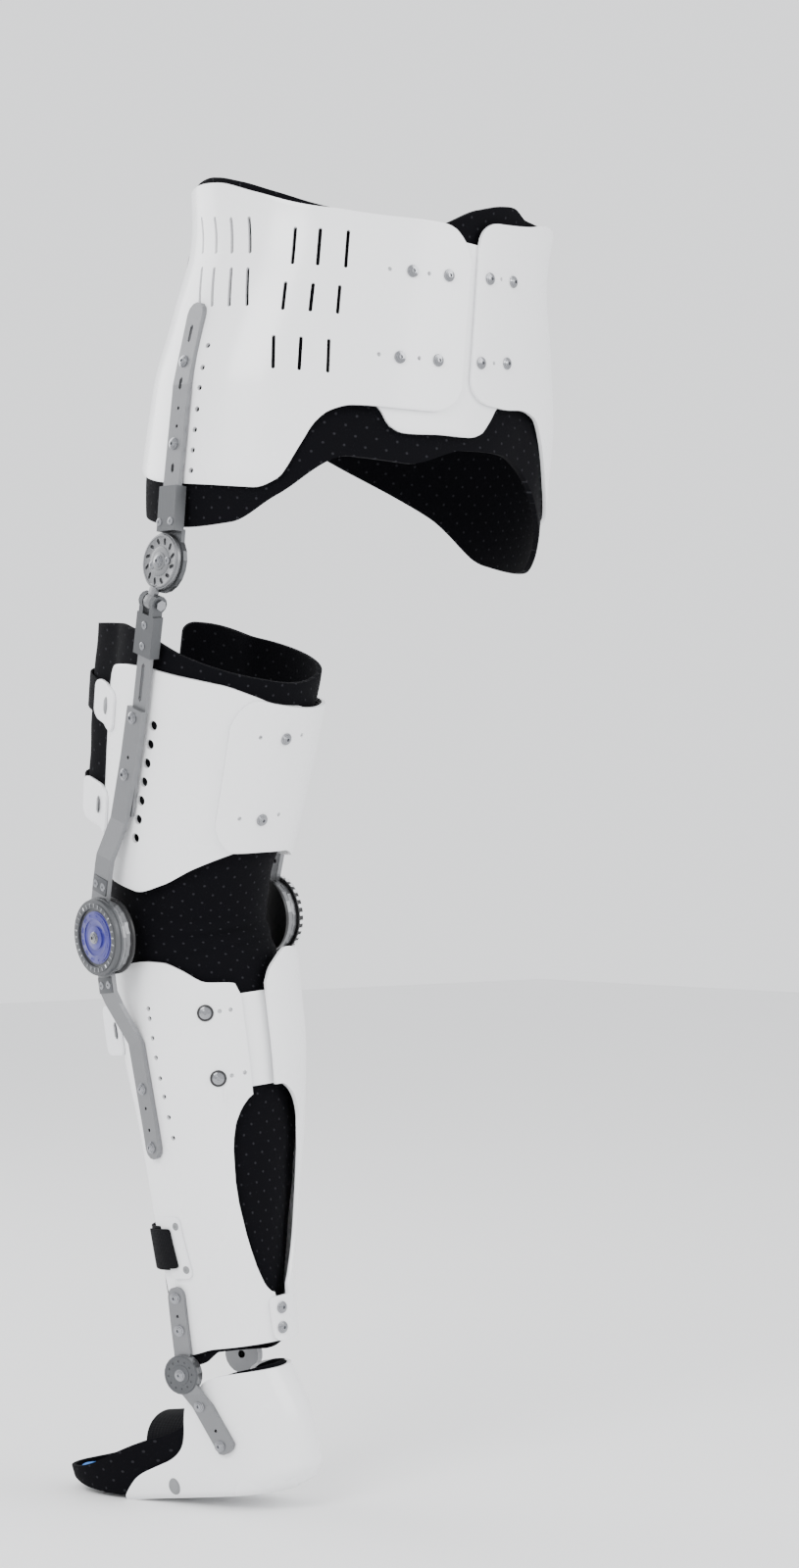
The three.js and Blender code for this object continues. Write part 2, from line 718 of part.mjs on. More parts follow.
const clevisTop = -11;
const clevisLow = -49;
const clevisHalf = 13;
const slideInner = clearance - 0.5;
const slideOuter = slideInner + slideBarThick;
const slideHigh = -25;
const slideLow = -198;
const earHalf = earGap / 2 + earWall;
const clevisInner = slideInner - 3.6;
const clevisOuter = slideOuter + 3.6;
const ears = rodAlongY(earRadius, 2 * earHalf)
  .add(block(clevisInner, clevisOuter, -earHalf, earHalf, clevisTop - 1, 0));
const hipClevis = block(clevisInner, clevisOuter, -clevisHalf, clevisHalf, clevisLow, clevisTop)
  .add(ears)
  .subtract(block(-30, 30, -earGap / 2, earGap / 2, clevisTop, 30))
  .subtract(rodAlongY(boltRadius + clearance, 60))
  .subtract(block(
    slideInner - clearance,
    slideOuter + clearance,
    -slideBarWidth / 2 - clearance,
    slideBarWidth / 2 + clearance,
    clevisLow - 1,
    slideHigh + clearance,
  ));
add(thighFrame, 'hip_clevis', hipClevis, housingGrey);

const boltHeadThick = 2.5;
const boltHead = boltRadius + 2;
const headBack = earHalf + clearance + boltHeadThick / 2;
const clevisBolt = rodAlongY(boltRadius, 2 * earHalf + 2)
  .add(rodAlongY(boltHead, boltHeadThick, { parts: 6, back: headBack }))
  .add(rodAlongY(boltHead, boltHeadThick, { parts: 6, back: -headBack }));
add(thighFrame, 'clevis_bolt', clevisBolt, chrome);

add(thighFrame, 'thigh_slide_bar', barSolid({
  face: [{ up: slideLow - 1, out: slideInner }, { up: slideHigh + 1, out: slideInner }],
  thick: slideBarThick,
  strip: [
    { up: slideLow, middle: -4, width: slideBarWidth },
    { up: -100, middle: 0, width: slideBarWidth },
    { up: slideHigh, middle: 0, width: slideBarWidth },
  ],
  holes: [{ up: -74, middle: 0, width: 4.5, length: 36 }],
}), barGrey);

// Knee: from the outside in, a dial, the upper plate, the lower plate and a backing disc
const dialOuter = kneeSide + 1;
const dialInner = dialOuter - hubThick;
const upperPlateInner = dialInner - clearance - kneeBarThick;
const lowerPlateInner = upperPlateInner - clearance - kneeBarThick;
const hubBackOuter = lowerPlateInner - clearance;
const hubBackInner = hubBackOuter - hubBackThick;
const kneeUp = -thighLength;
const kneeSet = -11;
const wideInner = slideOuter + clearance;
const wideHigh = -98;
const bendHigh = -205;
const bendLow = -240;

function kneeHub(side, shift) {
  const rim = hubRadius - 5;
  const profile = [
    [0, dialInner],
    [hubRadius, dialInner],
    [hubRadius, dialInner + 2],
    [rim, dialOuter],
    [0, dialOuter],
  ].map(([x, y]) => new THREE.Vector2(x, y));
  const dial = new THREE.LatheGeometry(profile, discParts);
  dial.rotateZ(-Math.PI / 2);
  if (side < 0) dial.rotateY(Math.PI);
  dial.translate(shift, 0, kneeUp);
  const place = (out) => shift + side * out;
  return solidOf(dial)
    .add(discAlongX(pinRadius, place(hubBackInner + 1), place(dialInner + 1), pinParts, kneeUp))
    .add(discAlongX(hubRadius - 1, place(hubBackInner), place(hubBackOuter), discParts, kneeUp));
}
add(thighFrame, 'knee_hub_lateral', kneeHub(1, 0), hubViolet);

const plateHoles = [
  { up: -262, middle: kneeSet - 6, width: 2 * barScrewHole },
  { up: -262, middle: kneeSet + 6, width: 2 * barScrewHole },
];
const pinHole = { middle: 0, width: 2 * (pinRadius + clearance) };
add(thighFrame, 'knee_bar_upper_lateral', barSolid({
  face: [
    { up: kneeUp - hubRadius, out: upperPlateInner },
    { up: bendLow, out: upperPlateInner },
    { up: bendHigh, out: wideInner },
    { up: wideHigh + 1, out: wideInner },
  ],
  thick: kneeBarThick,
  strip: [
    { up: kneeUp, middle: -5, width: kneeBarWidth },
    { up: -285, middle: kneeSet, width: kneeBarWidth },
    { up: -250, middle: kneeSet, width: kneeBarWidth },
    { up: -200, middle: -7, width: kneeBarWidth },
    { up: -145, middle: -2, width: kneeBarWidth },
    { up: wideHigh, middle: 0, width: kneeBarWidth },
  ],
  disc: { middle: 0, up: kneeUp, radius: hubPlateRadius },
  holes: [
    { up: -144, middle: -2, width: 3.6 },
    { ...pinHole, up: kneeUp },
    ...plateHoles,
  ],
}), barGrey);

// The medial hub mirrors the lateral one on the other side of the knee
const medialOuter = 185;
const medialShift = dialOuter - medialOuter;
add(thighFrame, 'knee_hub_medial', kneeHub(-1, medialShift), hubViolet);

const shellOverOuter = shellOver + shellWall;
const medialPlate = upperPlateInner - medialShift;
const medialHigh = -0.4 * thighLength;
const onThighShell = (up) => -reachOn(thigh, up, -1, shellOverOuter) + clearance;
add(thighFrame, 'knee_bar_upper_medial', barSolid({
  side: -1,
  face: [
    { up: kneeUp - hubRadius, out: medialPlate },
    { up: thigh.rows[0].up, out: medialPlate },
    { up: thigh.rows[1].up, out: Math.max(onThighShell(thigh.rows[1].up), medialPlate) },
    { up: medialHigh + kneeBarWidth, out: onThighShell(medialHigh + kneeBarWidth) },
  ],
  thick: kneeBarThick,
  strip: [
    { up: kneeUp, middle: -5, width: kneeBarWidth },
    { up: -285, middle: kneeSet, width: kneeBarWidth },
    { up: -200, middle: -7, width: kneeBarWidth },
    { up: medialHigh, middle: -2, width: kneeBarWidth },
  ],
  endRound: kneeBarWidth / 2,
  disc: { middle: 0, up: kneeUp, radius: hubPlateRadius },
  holes: [{ up: -160, middle: -4, width: 3.6 }, { ...pinHole, up: kneeUp }, ...plateHoles],
}), barGrey);

// Thigh shells: heights are shares of thighLength
const thighEdge = (rows) => rows.map(({ angle, bottom, top }) => ({
  angle,
  bottom: bottom * thighLength,
  top: top * thighLength,
}));
const thighLateralEdge = thighEdge([
  { angle: -22, bottom: -0.68, top: -0.27 },
  { angle: 4, bottom: -0.68, top: -0.25 },
  { angle: 18, bottom: -0.7, top: -0.225 },
  { angle: 37, bottom: -0.745, top: -0.2 },
  { angle: 56, bottom: -0.81, top: -0.195 },
  { angle: 75, bottom: -0.85, top: -0.195 },
  { angle: 95, bottom: -0.85, top: -0.21 },
  { angle: 118, bottom: -0.8, top: -0.25 },
]);
const thighMedialEdge = thighEdge([
  { angle: -118, bottom: -0.78, top: -0.32 },
  { angle: -90, bottom: -0.8, top: -0.32 },
  { angle: -47, bottom: -0.75, top: -0.29 },
  { angle: -25, bottom: -0.705, top: -0.275 },
  { angle: 6, bottom: -0.69, top: -0.245 },
  { angle: 15, bottom: -0.69, top: -0.235 },
  { angle: 29, bottom: -0.66, top: -0.27 },
]);
const thighScrews = [{ angle: -4, up: -0.352 }, { angle: 2, up: -0.592 }]
  .map(({ angle, up }) => ({ angle, up: up * thighLength }));
const thighScrewHoles = thighScrews.map(({ angle, up }) => ({ angle, up, width: screwHole }));
const thighVents = [];
const ventPitch = 17.8;
for (let i = 0; i < 7; i += 1) {
  thighVents.push({ angle: 71 + i, up: -0.355 * thighLength - ventPitch * i, width: 9 });
}
add(thighFrame, 'thigh_shell_lateral', drilled(
  wallOn(thigh, { rows: thighLateralEdge, outer: 0, inner: shellInner, corner: 12 }),
  thigh,
  [...thighScrewHoles, ...thighVents],
), shellWhite);
add(thighFrame, 'thigh_shell_medial', drilled(
  wallOn(thigh, { rows: thighMedialEdge, outer: shellOverOuter, inner: shellOver, corner: 18 }),
  thigh,
  thighScrewHoles,
), shellWhite);
thighScrews.forEach((place, i) => {
  addScrew(thighFrame, `thigh_shell_screw_${i + 1}`, thigh, place, shellOverOuter, 2 * shellWall + clearance);
});

const linerEnd = 160;
const thighLinerLow = -0.66;
const thighLinerEdge = thighEdge([
  { angle: -linerEnd, bottom: thighLinerLow, top: -0.2 },
  { angle: -110, bottom: thighLinerLow, top: -0.2 },
  { angle: -60, bottom: thighLinerLow, top: -0.2 },
  { angle: -20, bottom: thighLinerLow, top: -0.17 },
  { angle: 20, bottom: thighLinerLow, top: -0.125 },
  { angle: 58, bottom: thighLinerLow, top: -0.09 },
  { angle: 112, bottom: thighLinerLow, top: -0.1 },
  { angle: linerEnd, bottom: thighLinerLow, top: -0.14 },
]);
add(thighFrame, 'thigh_liner', wallOn(thigh, {
  rows: thighLinerEdge,
  outer: linerOuter,
  inner: linerInner,
  turnStep: 2 * cuffStep,
  corner: 10,
}), linerBlack);

// Tabs and straps that close a shell across the front. A strap lies between the liner and
// the tabs at its ends
const strapOuter = linerOuter + clearance + strapWall;
function closure(group, form, { tab, strap, bottom, top, tabStart, tabEnd, strapStart }) {
  const inset = (top - bottom) * 0.08;
  const rows = (from, to, low, high) => [
    { angle: from, bottom: low, top: high },
    { angle: to, bottom: low, top: high },
  ];
  const over = shellOver + shellWall + clearance;
  const lateral = rows(tabStart, tabEnd, bottom, top);
  const medial = rows(360 - tabEnd, 360 - tabStart, bottom, top);
  add(group, `${tab}_lateral`, wallOn(form, {
    rows: lateral,
    outer: clearance + tabWall,
    inner: clearance,
    corner: 4,
  }), tabWhite);
  add(group, `${tab}_medial`, wallOn(form, { rows: medial, outer: over + tabWall, inner: over, corner: 4 }), tabWhite);
  add(group, strap, wallOn(form, {
    rows: rows(strapStart, 360 - strapStart, bottom + inset, top - inset),
    outer: strapOuter,
    inner: strapOuter - strapWall,
    }), strapBlack);
}
const thighClosures = [
  { level: 'upper', bottom: -0.455, top: -0.32, tabStart: 104, tabEnd: 130 },
  { level: 'lower', bottom: -0.755, top: -0.62, tabStart: 108, tabEnd: 133 },
];
for (const { level, bottom, top, tabStart, tabEnd } of thighClosures) {
  closure(thighFrame, thigh, {
    tab: `thigh_tab_${level}`,
    strap: `thigh_strap_${level}`,
    bottom: bottom * thighLength,
    top: top * thighLength,
    tabStart,
    tabEnd,
    strapStart: 120,
  });
}

// Knee liner: a soft sleeve from the thigh shells to the calf shells, bent with the knee.
// up is a share of thighLength above the knee and of shankLength below it
const kneeRings = [
  { below: true, up: -0.174, wide: 0.885, deep: 0.91, side: -1.369, back: -0.063 },
  { below: true, up: -0.04, wide: 0.87, deep: 0.92, side: -1.28, back: -0.05 },
  { below: false, up: -0.98, wide: 0.755, deep: 0.79, side: -0.82, back: 0, tilt: 0.3 },
  { below: false, up: -0.84, wide: 0.745, deep: 0.79, side: -0.84, back: -0.07 },
  { below: false, up: -0.664, wide: 0.85, deep: 0.89, side: -0.907, back: -0.138 },
];
const kneeStep = 20;
function kneeRing({ below, up, wide, deep, side, back, tilt = below ? 1 : 0 }, inset, lift) {
  const halfWidth = below ? calfHalfWidth : thighHalfWidth;
  const lean = radians(kneeFlexed * tilt);
  const centre = new THREE.Vector3(side * halfWidth, back * halfWidth, 0);
  const ring = [];
  for (let angle = 360; angle > 0; angle -= kneeStep) {
    const a = radians(angle);
    const p = new THREE.Vector3(
      (wide * halfWidth - inset) * Math.sin(a),
      (deep * halfWidth - inset) * Math.cos(a),
      lift,
    ).add(centre);
    if (below) p.setX(p.x + kneeSide).setZ(p.z + up * shankLength);
    else p.setZ(p.z + (up + 1) * thighLength);
    p.applyAxisAngle(new THREE.Vector3(1, 0, 0), lean);
    ring.push(p.setZ(p.z + kneeUp));
  }
  return ring;
}
const kneePad = loft(kneeRings.map((row) => kneeRing(row, 0, 0)));
const kneeLast = kneeRings.length - 1;
const kneeHollow = loft(kneeRings.map((row, i) => {
  const lift = (i === kneeLast ? 1 : 0) - (i === 0 ? 1 : 0);
  return kneeRing(row, kneePadWall, lift);
}));
const kneeGapHalf = 34;
const kneeOpen = block(kneeSide - 96 - kneeGapHalf, kneeSide - 96 + kneeGapHalf, -200, -20, kneeUp - 150, kneeUp + 150);
add(thighFrame, 'knee_liner', kneePad.subtract(kneeHollow).subtract(kneeOpen), linerBlack);

// Shank segment
const shankFrame = new THREE.Group();
shankFrame.position.set(kneeSide, 0, kneeUp);
shankFrame.rotation.x = radians(kneeFlexed);
thighFrame.add(shankFrame);

const lowerPlate = lowerPlateInner - kneeSide;
const onCalf = (up) => reachOn(calf, up, 1) + clearance;
const calfBarLow = -207;
const neckLow = -50;
const seatHigh = calf.rows[4].up;
const calfStrip = [
  { up: calfBarLow + calfBarWidth / 2, middle: -4, width: calfBarWidth },
  { up: -100, middle: -5, width: calfBarWidth },
  { up: -62, middle: kneeSet, width: calfBarWidth + 2 },
  { up: -30, middle: kneeSet, width: calfBarWidth + 2 },
  { up: 0, middle: -5, width: calfBarWidth + 2 },
].reverse();
const calfBarHoles = [
  { up: -160, middle: -4, width: 3.4 },
  { up: -180, middle: -4, width: 3.4 },
  { ...pinHole, up: 0 },
  { up: -46, middle: kneeSet - 6, width: 2 * barScrewHole },
  { up: -46, middle: kneeSet + 6, width: 2 * barScrewHole },
];
add(shankFrame, 'knee_bar_lower_lateral', barSolid({
  face: [
    { up: hubRadius, out: lowerPlate },
    { up: neckLow, out: lowerPlate },
    { up: seatHigh, out: onCalf(seatHigh) },
    { up: calf.rows[3].up, out: onCalf(calf.rows[3].up) },
    { up: calfBarLow - 20, out: onCalf(calfBarLow - 20) },
  ].reverse(),
  thick: kneeBarThick,
  strip: calfStrip,
  endRound: calfBarWidth / 2,
  disc: { middle: 0, up: 0, radius: hubPlateRadius },
  holes: calfBarHoles,
}), barGrey);

const medialLower = kneeSide - (medialShift + lowerPlateInner * -1);
const onCalfInner = (up) => -reachOn(calf, up, -1, shellOverOuter) + clearance;
const medialBarLow = -175;
const medialSeat = -0.2 * shankLength;
add(shankFrame, 'knee_bar_lower_medial', barSolid({
  side: -1,
  face: [
    { up: hubRadius, out: medialLower },
    { up: neckLow, out: medialLower },
    { up: medialSeat, out: onCalfInner(medialSeat) },
    { up: seatHigh, out: onCalfInner(seatHigh) },
    { up: calf.rows[3].up, out: onCalfInner(calf.rows[3].up) },
    { up: medialBarLow - 20, out: onCalfInner(medialBarLow - 20) },
  ].reverse(),
  thick: kneeBarThick,
  strip: [
    { up: 0, middle: -5, width: calfBarWidth + 2 },
    { up: -30, middle: kneeSet, width: calfBarWidth + 2 },
    { up: -62, middle: kneeSet, width: calfBarWidth + 2 },
    { up: -100, middle: -5, width: calfBarWidth },
    { up: medialBarLow + calfBarWidth / 2, middle: -4, width: calfBarWidth },
  ],
  endRound: calfBarWidth / 2,
  disc: { middle: 0, up: 0, radius: hubPlateRadius },
  holes: [{ up: -130, middle: -4, width: 3.4 }, { ...pinHole, up: 0 }],
}), barGrey);

// Calf shells: heights are shares of shankLength
const calfEdge = (rows) => rows.map(({ angle, bottom, top }) => ({
  angle,
  bottom: bottom * shankLength,
  top: top * shankLength,
}));
const calfLow = -0.95;
const seamTop = -0.85;
const calfFront = 124;
const calfLateralEdge = calfEdge([
  { angle: 3, bottom: calfLow, top: seamTop },
  { angle: 13, bottom: calfLow, top: seamTop },
  { angle: 14, bottom: calfLow, top: -0.17 },
  { angle: 18, bottom: calfLow, top: -0.14 },
  { angle: 36, bottom: calfLow, top: -0.13 },
  { angle: 50, bottom: calfLow, top: -0.097 },
  { angle: 62, bottom: calfLow, top: -0.075 },
  { angle: 80, bottom: calfLow, top: -0.067 },
  { angle: 108, bottom: calfLow - 0.01, top: -0.085 },
  { angle: calfFront, bottom: calfLow - 0.01, top: -0.12 },
]);
const calfMedialEdge = calfEdge([
  { angle: -calfFront, bottom: calfLow - 0.01, top: -0.12 },
  { angle: -113, bottom: calfLow, top: -0.13 },
  { angle: -104, bottom: calfLow, top: -0.205 },
  { angle: -74, bottom: calfLow, top: -0.205 },
  { angle: -64, bottom: calfLow, top: -0.12 },
  { angle: -40, bottom: calfLow, top: -0.08 },
  { angle: -26, bottom: calfLow, top: -0.075 },
  { angle: -13, bottom: calfLow, top: -0.1 },
  { angle: -3, bottom: calfLow, top: -0.15 },
  { angle: -2, bottom: calfLow, top: seamTop },
  { angle: 23, bottom: calfLow, top: seamTop },
]);
const calfWindow = calfEdge([
  { angle: -30, bottom: -0.62, top: -0.53 },
  { angle: -28, bottom: -0.68, top: -0.46 },
  { angle: -23, bottom: -0.735, top: -0.42 },
  { angle: -15, bottom: -0.78, top: -0.39 },
  { angle: -8, bottom: -0.81, top: -0.378 },
  { angle: 3, bottom: -0.84, top: -0.378 },
  { angle: 14, bottom: -0.84, top: -0.392 },
  { angle: 22, bottom: -0.825, top: -0.415 },
  { angle: 29, bottom: -0.775, top: -0.455 },
  { angle: 33, bottom: -0.7, top: -0.51 },
  { angle: 35, bottom: -0.63, top: -0.58 },
]);
const calfPlateEdge = calfEdge([
  { angle: -30, bottom: -0.375, top: -0.165 },
  { angle: 46, bottom: -0.375, top: -0.165 },
]);
const calfScrews = [{ angle: 38, up: -0.198 }, { angle: 36, up: -0.346 }]
  .map(({ angle, up }) => ({ angle, up: up * shankLength }));
const seamScrews = [{ angle: 11, up: -0.877 }, { angle: 13, up: -0.921 }]
  .map(({ angle, up }) => ({ angle, up: up * shankLength }));
const asHoles = (places) => places.map(({ angle, up }) => ({ angle, up, width: screwHole }));
const calfOpening = patchBlock(calf, calfWindow, 0);
add(shankFrame, 'calf_shell_lateral', drilled(
  wallOn(calf, { rows: calfLateralEdge, outer: 0, inner: shellInner, corner: 8 }).subtract(calfOpening),
  calf,
  [...asHoles(calfScrews), ...asHoles(seamScrews)],
), shellWhite);
add(shankFrame, 'calf_shell_medial', drilled(
  wallOn(calf, { rows: calfMedialEdge, outer: shellOverOuter, inner: shellOver, corner: 8 }).subtract(calfOpening),
  calf,
  asHoles(seamScrews),
), shellWhite);
add(shankFrame, 'calf_plate', drilled(
  wallOn(calf, { rows: calfPlateEdge, outer: plateOuter, inner: plateInner, corner: 8 }),
  calf,
  asHoles(calfScrews),
), shellWhite);
calfScrews.forEach((place, i) => {
  addScrew(shankFrame, `calf_plate_screw_${i + 1}`, calf, place, 0, shellWall + clearance + plateWall);
});
seamScrews.forEach((place, i) => {
  addScrew(shankFrame, `calf_seam_screw_${i + 1}`, calf, place, shellOverOuter, 2 * shellWall + clearance);
});

const calfDip = plateWall + 2 * clearance;
function calfLinerOut(angle) {
  const turned = angle > 180 ? angle - 360 : angle;
  const past = Math.max(Math.abs(turned - 8) - 42, 0);
  return linerOuter - calfDip * THREE.MathUtils.clamp(1 - past / 12, 0, 1);
}
const calfLinerHigh = -0.178;
const calfLinerEdge = calfEdge([
  { angle: -linerEnd, bottom: -0.99, top: calfLinerHigh },
  { angle: linerEnd, bottom: -0.99, top: calfLinerHigh },
]);
add(shankFrame, 'calf_liner', wallOn(calf, {
  rows: calfLinerEdge,
  outer: calfLinerOut,
  inner: (angle) => calfLinerOut(angle) - linerWall,
  turnStep: 2 * cuffStep,
  corner: 6,
}), linerBlack);

closure(shankFrame, calf, {
  tab: 'calf_tab',
  strap: 'calf_strap_upper',
  bottom: -0.275 * shankLength,
  top: -0.16 * shankLength,
  tabStart: 112,
  tabEnd: 138,
  strapStart: 127,
});
const loopEdge = calfEdge([{ angle: 76, bottom: -0.77, top: -0.63 }, { angle: 98, bottom: -0.77, top: -0.63 }]);
const loopHole = calfEdge([{ angle: 86, bottom: -0.755, top: -0.645 }, { angle: 94, bottom: -0.755, top: -0.645 }]);
add(shankFrame, 'calf_loop', wallOn(calf, {
  rows: loopEdge,
  outer: clearance + tabWall,
  inner: clearance,
  corner: 3,
}).subtract(patchBlock(calf, loopHole, 0)), tabWhite);
const lowStrapOver = shellOverOuter + clearance;
add(shankFrame, 'calf_strap_lower', wallOn(calf, {
  rows: calfEdge([{ angle: 99, bottom: -0.75, top: -0.65 }, { angle: 250, bottom: -0.75, top: -0.65 }]),
  outer: (angle) => (angle > 170 ? lowStrapOver : clearance) + strapWall,
  inner: (angle) => (angle > 170 ? lowStrapOver : clearance),
}), strapBlack);

// Ankle: a frame turned outwards with the foot
const ankleFrame = new THREE.Group();
ankleFrame.position.set(ankleSide, ankleBack, -shankLength);
ankleFrame.rotation.z = radians(ankleTurned);
shankFrame.add(ankleFrame);

const anklePoint = (angle, up, out) => pointOn(calf, angle, up - shankLength, out)
  .sub(new THREE.Vector3(ankleSide, ankleBack, -shankLength))
  .applyAxisAngle(new THREE.Vector3(0, 0, 1), -radians(ankleTurned));
const ankleMiddle = (anklePoint(90, 16, 0).x + anklePoint(270, 16, 0).x) / 2;
const ankleHigh = 80;
const ankleSeat = 20;
const ankleBarMiddle = 2.5;
// How far the calf shells reach beside an ankle bar
function ankleReach(up, side, out) {
  let reach = 0;
  for (let angle = 0; angle < 360; angle += 3) {
    const p = anklePoint(angle, up, out);
    const isBeside = Math.abs(p.y - ankleBarMiddle) < ankleBarWidth / 2 + 2;
    if (isBeside) reach = Math.max(reach, side * (p.x - ankleMiddle));
  }
  return reach + side * ankleMiddle;
}
const lateralStand = (up) => ankleReach(up, 1, 0) + clearance;
const medialStand = (up) => ankleReach(up, -1, shellOverOuter) + clearance;
const upperAnkleInner = lateralStand(ankleSeat);
const lowerAnkleInner = upperAnkleInner + ankleBarThick + clearance;
const ankleStrip = [
  { up: 0, middle: 0, width: ankleBarWidth },
  { up: 40, middle: 2.5, width: ankleBarWidth },
  { up: ankleHigh - ankleBarWidth / 2, middle: 5, width: ankleBarWidth },
];
const anklePlateHoles = [
  { up: 53, middle: 3.4, width: 3.4 },
  { up: 0, middle: 0, width: 2 * (pinRadius - 1.5 + clearance) },
];
add(ankleFrame, 'ankle_bar_upper_lateral', barSolid({
  face: [
    { up: -ankleDiscRadius - 1, out: upperAnkleInner },
    { up: ankleSeat, out: upperAnkleInner },
    { up: 60, out: Math.max(lateralStand(63), upperAnkleInner) },
    { up: ankleHigh + 1, out: Math.max(lateralStand(ankleHigh + 1), upperAnkleInner) },
  ],
  thick: ankleBarThick,
  strip: ankleStrip,
  endRound: ankleBarWidth / 2,
  disc: { middle: 0, up: 0, radius: ankleDiscRadius },
  holes: anklePlateHoles,
}), barGrey);
const upperMedial = medialStand(ankleSeat);
add(ankleFrame, 'ankle_bar_upper_medial', barSolid({
  side: -1,
  face: [
    { up: -ankleDiscRadius - 1, out: upperMedial },
    { up: ankleSeat, out: upperMedial },
    { up: 60, out: Math.max(medialStand(63), upperMedial) },
    { up: ankleHigh + 1, out: Math.max(medialStand(ankleHigh + 1), upperMedial) },
  ],
  thick: ankleBarThick,
  strip: ankleStrip,
  endRound: ankleBarWidth / 2,
  disc: { middle: 0, up: 0, radius: ankleDiscRadius },
  holes: anklePlateHoles,
}), barGrey);

// Foot segment: its sole lies square to the shank at rest
const footFrame = new THREE.Group();
ankleFrame.add(footFrame);

// Plan of the foot from heel to toe: along is a share of footLength, wide of footHalfWidth
const footPlan = [
  { along: 0, wide: 0 },
  { along: 0.012, wide: 0.34 },
  { along: 0.055, wide: 0.68 },
  { along: 0.14, wide: 0.94 },
  { along: 0.3, wide: 1 },
  { along: 0.55, wide: 0.96 },
  { along: 0.74, wide: 1.02 },
  { along: 0.87, wide: 0.89 },
  { along: 0.95, wide: 0.6 },
  { along: 0.988, wide: 0.3 },
  { along: 1, wide: 0 },
];
const heelBack = 117;
const toeRise = 20;
function footRing(up, inset, heelInset, lift) {
  const at = ({ along, wide }, side) => {
    const length = footLength - heelInset - inset;
    const y = heelBack - heelInset - along * length;
    const forward = (heelBack - y) / footLength;
    const spring = toeRise * Math.max((forward - 0.66) / 0.34, 0) ** 1.6;
    const x = ankleMiddle + side * Math.max(wide * (footHalfWidth - inset), 0);
    return new THREE.Vector3(x, y, up + spring + lift);
  };
  const lateral = footPlan.map((row) => at(row, 1)).reverse();
  const medial = footPlan.slice(1, -1).map((row) => at(row, -1));
  return lateral.concat(medial);
}
const footEnds = pairedEnds(2 * footPlan.length - 2);
// Levels of the foot shell: up is a share of soleDrop, the insets are in millimetres
const footLevels = [
  { up: -1, inset: 7, heel: 22 },
  { up: -0.95, inset: 2, heel: 10 },
  { up: -0.8, inset: 0, heel: 0 },
  { up: -0.45, inset: 0, heel: 4 },
  { up: 0.02, inset: 1, heel: 22 },
];
function footSolid(inset, floor, lift) {
  return loft(footLevels.map(({ up, inset: narrow, heel }, i) => {
    const raised = Math.max(up * soleDrop, floor - soleDrop + i * 0.01);
    return footRing(raised, narrow + inset, heel + inset, i === footLevels.length - 1 ? lift : 0);
  }), footEnds);
}
// Side outline of the foot shell: back and up as shares of soleDrop
const footShellSide = [
  { back: 0.23, up: -0.045 },
  { back: 0.82, up: -0.015 },
  { back: 1.2, up: -0.015 },
  { back: 1.2, up: -1.1 },
  { back: -0.64, up: -1.1 },
  { back: -0.64, up: -0.98 },
  { back: -0.55, up: -0.87 },
  { back: -0.46, up: -0.79 },
  { back: -0.28, up: -0.73 },
  { back: -0.12, up: -0.68 },
  { back: -0.03, up: -0.6 },
  { back: 0.01, up: -0.5 },
  { back: 0.015, up: -0.33 },
  { back: 0.05, up: -0.22 },
  { back: 0.14, up: -0.17 },
];
const asPoint = ({ back, up }) => new THREE.Vector2(back * soleDrop, up * soleDrop);
const footShellCut = frontSolid(new THREE.Shape(footShellSide.map(asPoint)));
const footShell = footSolid(0, 0, 0).subtract(footSolid(shellWall, shellWall, 20)).intersect(footShellCut);
add(footFrame, 'foot_shell', footShell, shellWhite);

const footLinerSide = [
  { back: 1.2, up: -0.3 },
  { back: 1.2, up: -1.1 },
  { back: -1.5, up: -1.1 },
  { back: -1.5, up: -0.6 },
  { back: -1.3, up: -0.62 },
  { back: -1, up: -0.56 },
  { back: -0.6, up: -0.54 },
  { back: -0.2, up: -0.48 },
  { back: 0.1, up: -0.32 },
];
const footGap = shellWall + 3 * clearance;
const footLinerCut = frontSolid(new THREE.Shape(footLinerSide.map(asPoint)));
const footLiner = footSolid(footGap, footGap, 0)
  .subtract(footSolid(footGap + linerWall - 1, footGap + linerWall, 20))
  .intersect(footLinerCut);
add(footFrame, 'foot_liner', footLiner, linerBlack);

const insoleGap = footGap + linerWall + clearance;
const insoleThick = 4;
const insole = loft([0, 1].map((level) => {
  const inset = insoleGap + 3;
  return footRing(-soleDrop + insoleGap + level * insoleThick, inset, inset + 8, 0);
}), footEnds);
add(footFrame, 'insole', insole, insoleBlue);

// Instep strap, an arch over the foot between the sides of the shell
const strapRows = 7;
const strapHalf = 0.96 * (footHalfWidth - footGap - linerWall + 1);
const strapFoot = -0.62 * soleDrop;
const strapRise = 0.27 * soleDrop;
function strapArc(grow) {
  const shape = new THREE.Shape();
  for (let i = 0; i <= strapRows; i += 1) {
    const turn = Math.PI * i / strapRows;
    const x = ankleMiddle + (strapHalf + grow) * Math.cos(turn);
    const z = strapFoot + (strapRise + grow) * Math.sin(turn) ** 0.8;
    if (i === 0) shape.moveTo(x, z);
    else shape.lineTo(x, z);
  }
  return shape;
}
const strapFront = -0.52 * soleDrop;
const strapBackEdge = -0.1 * soleDrop;
function strapSolid(grow, extra) {
  const depth = strapBackEdge - strapFront + 2 * extra;
  const geometry = new THREE.ExtrudeGeometry(strapArc(grow), { depth, bevelEnabled: false });
  const upright = new THREE.Matrix4().makeBasis(
    new THREE.Vector3(1, 0, 0),
    new THREE.Vector3(0, 0, 1),
    new THREE.Vector3(0, -1, 0),
  );
  geometry.applyMatrix4(upright);
  return solidOf(geometry.translate(0, strapBackEdge + extra, -extra / 10));
}
add(footFrame, 'foot_strap', strapSolid(-clearance, 0).subtract(strapSolid(-clearance - strapWall, 1)), strapBlack);

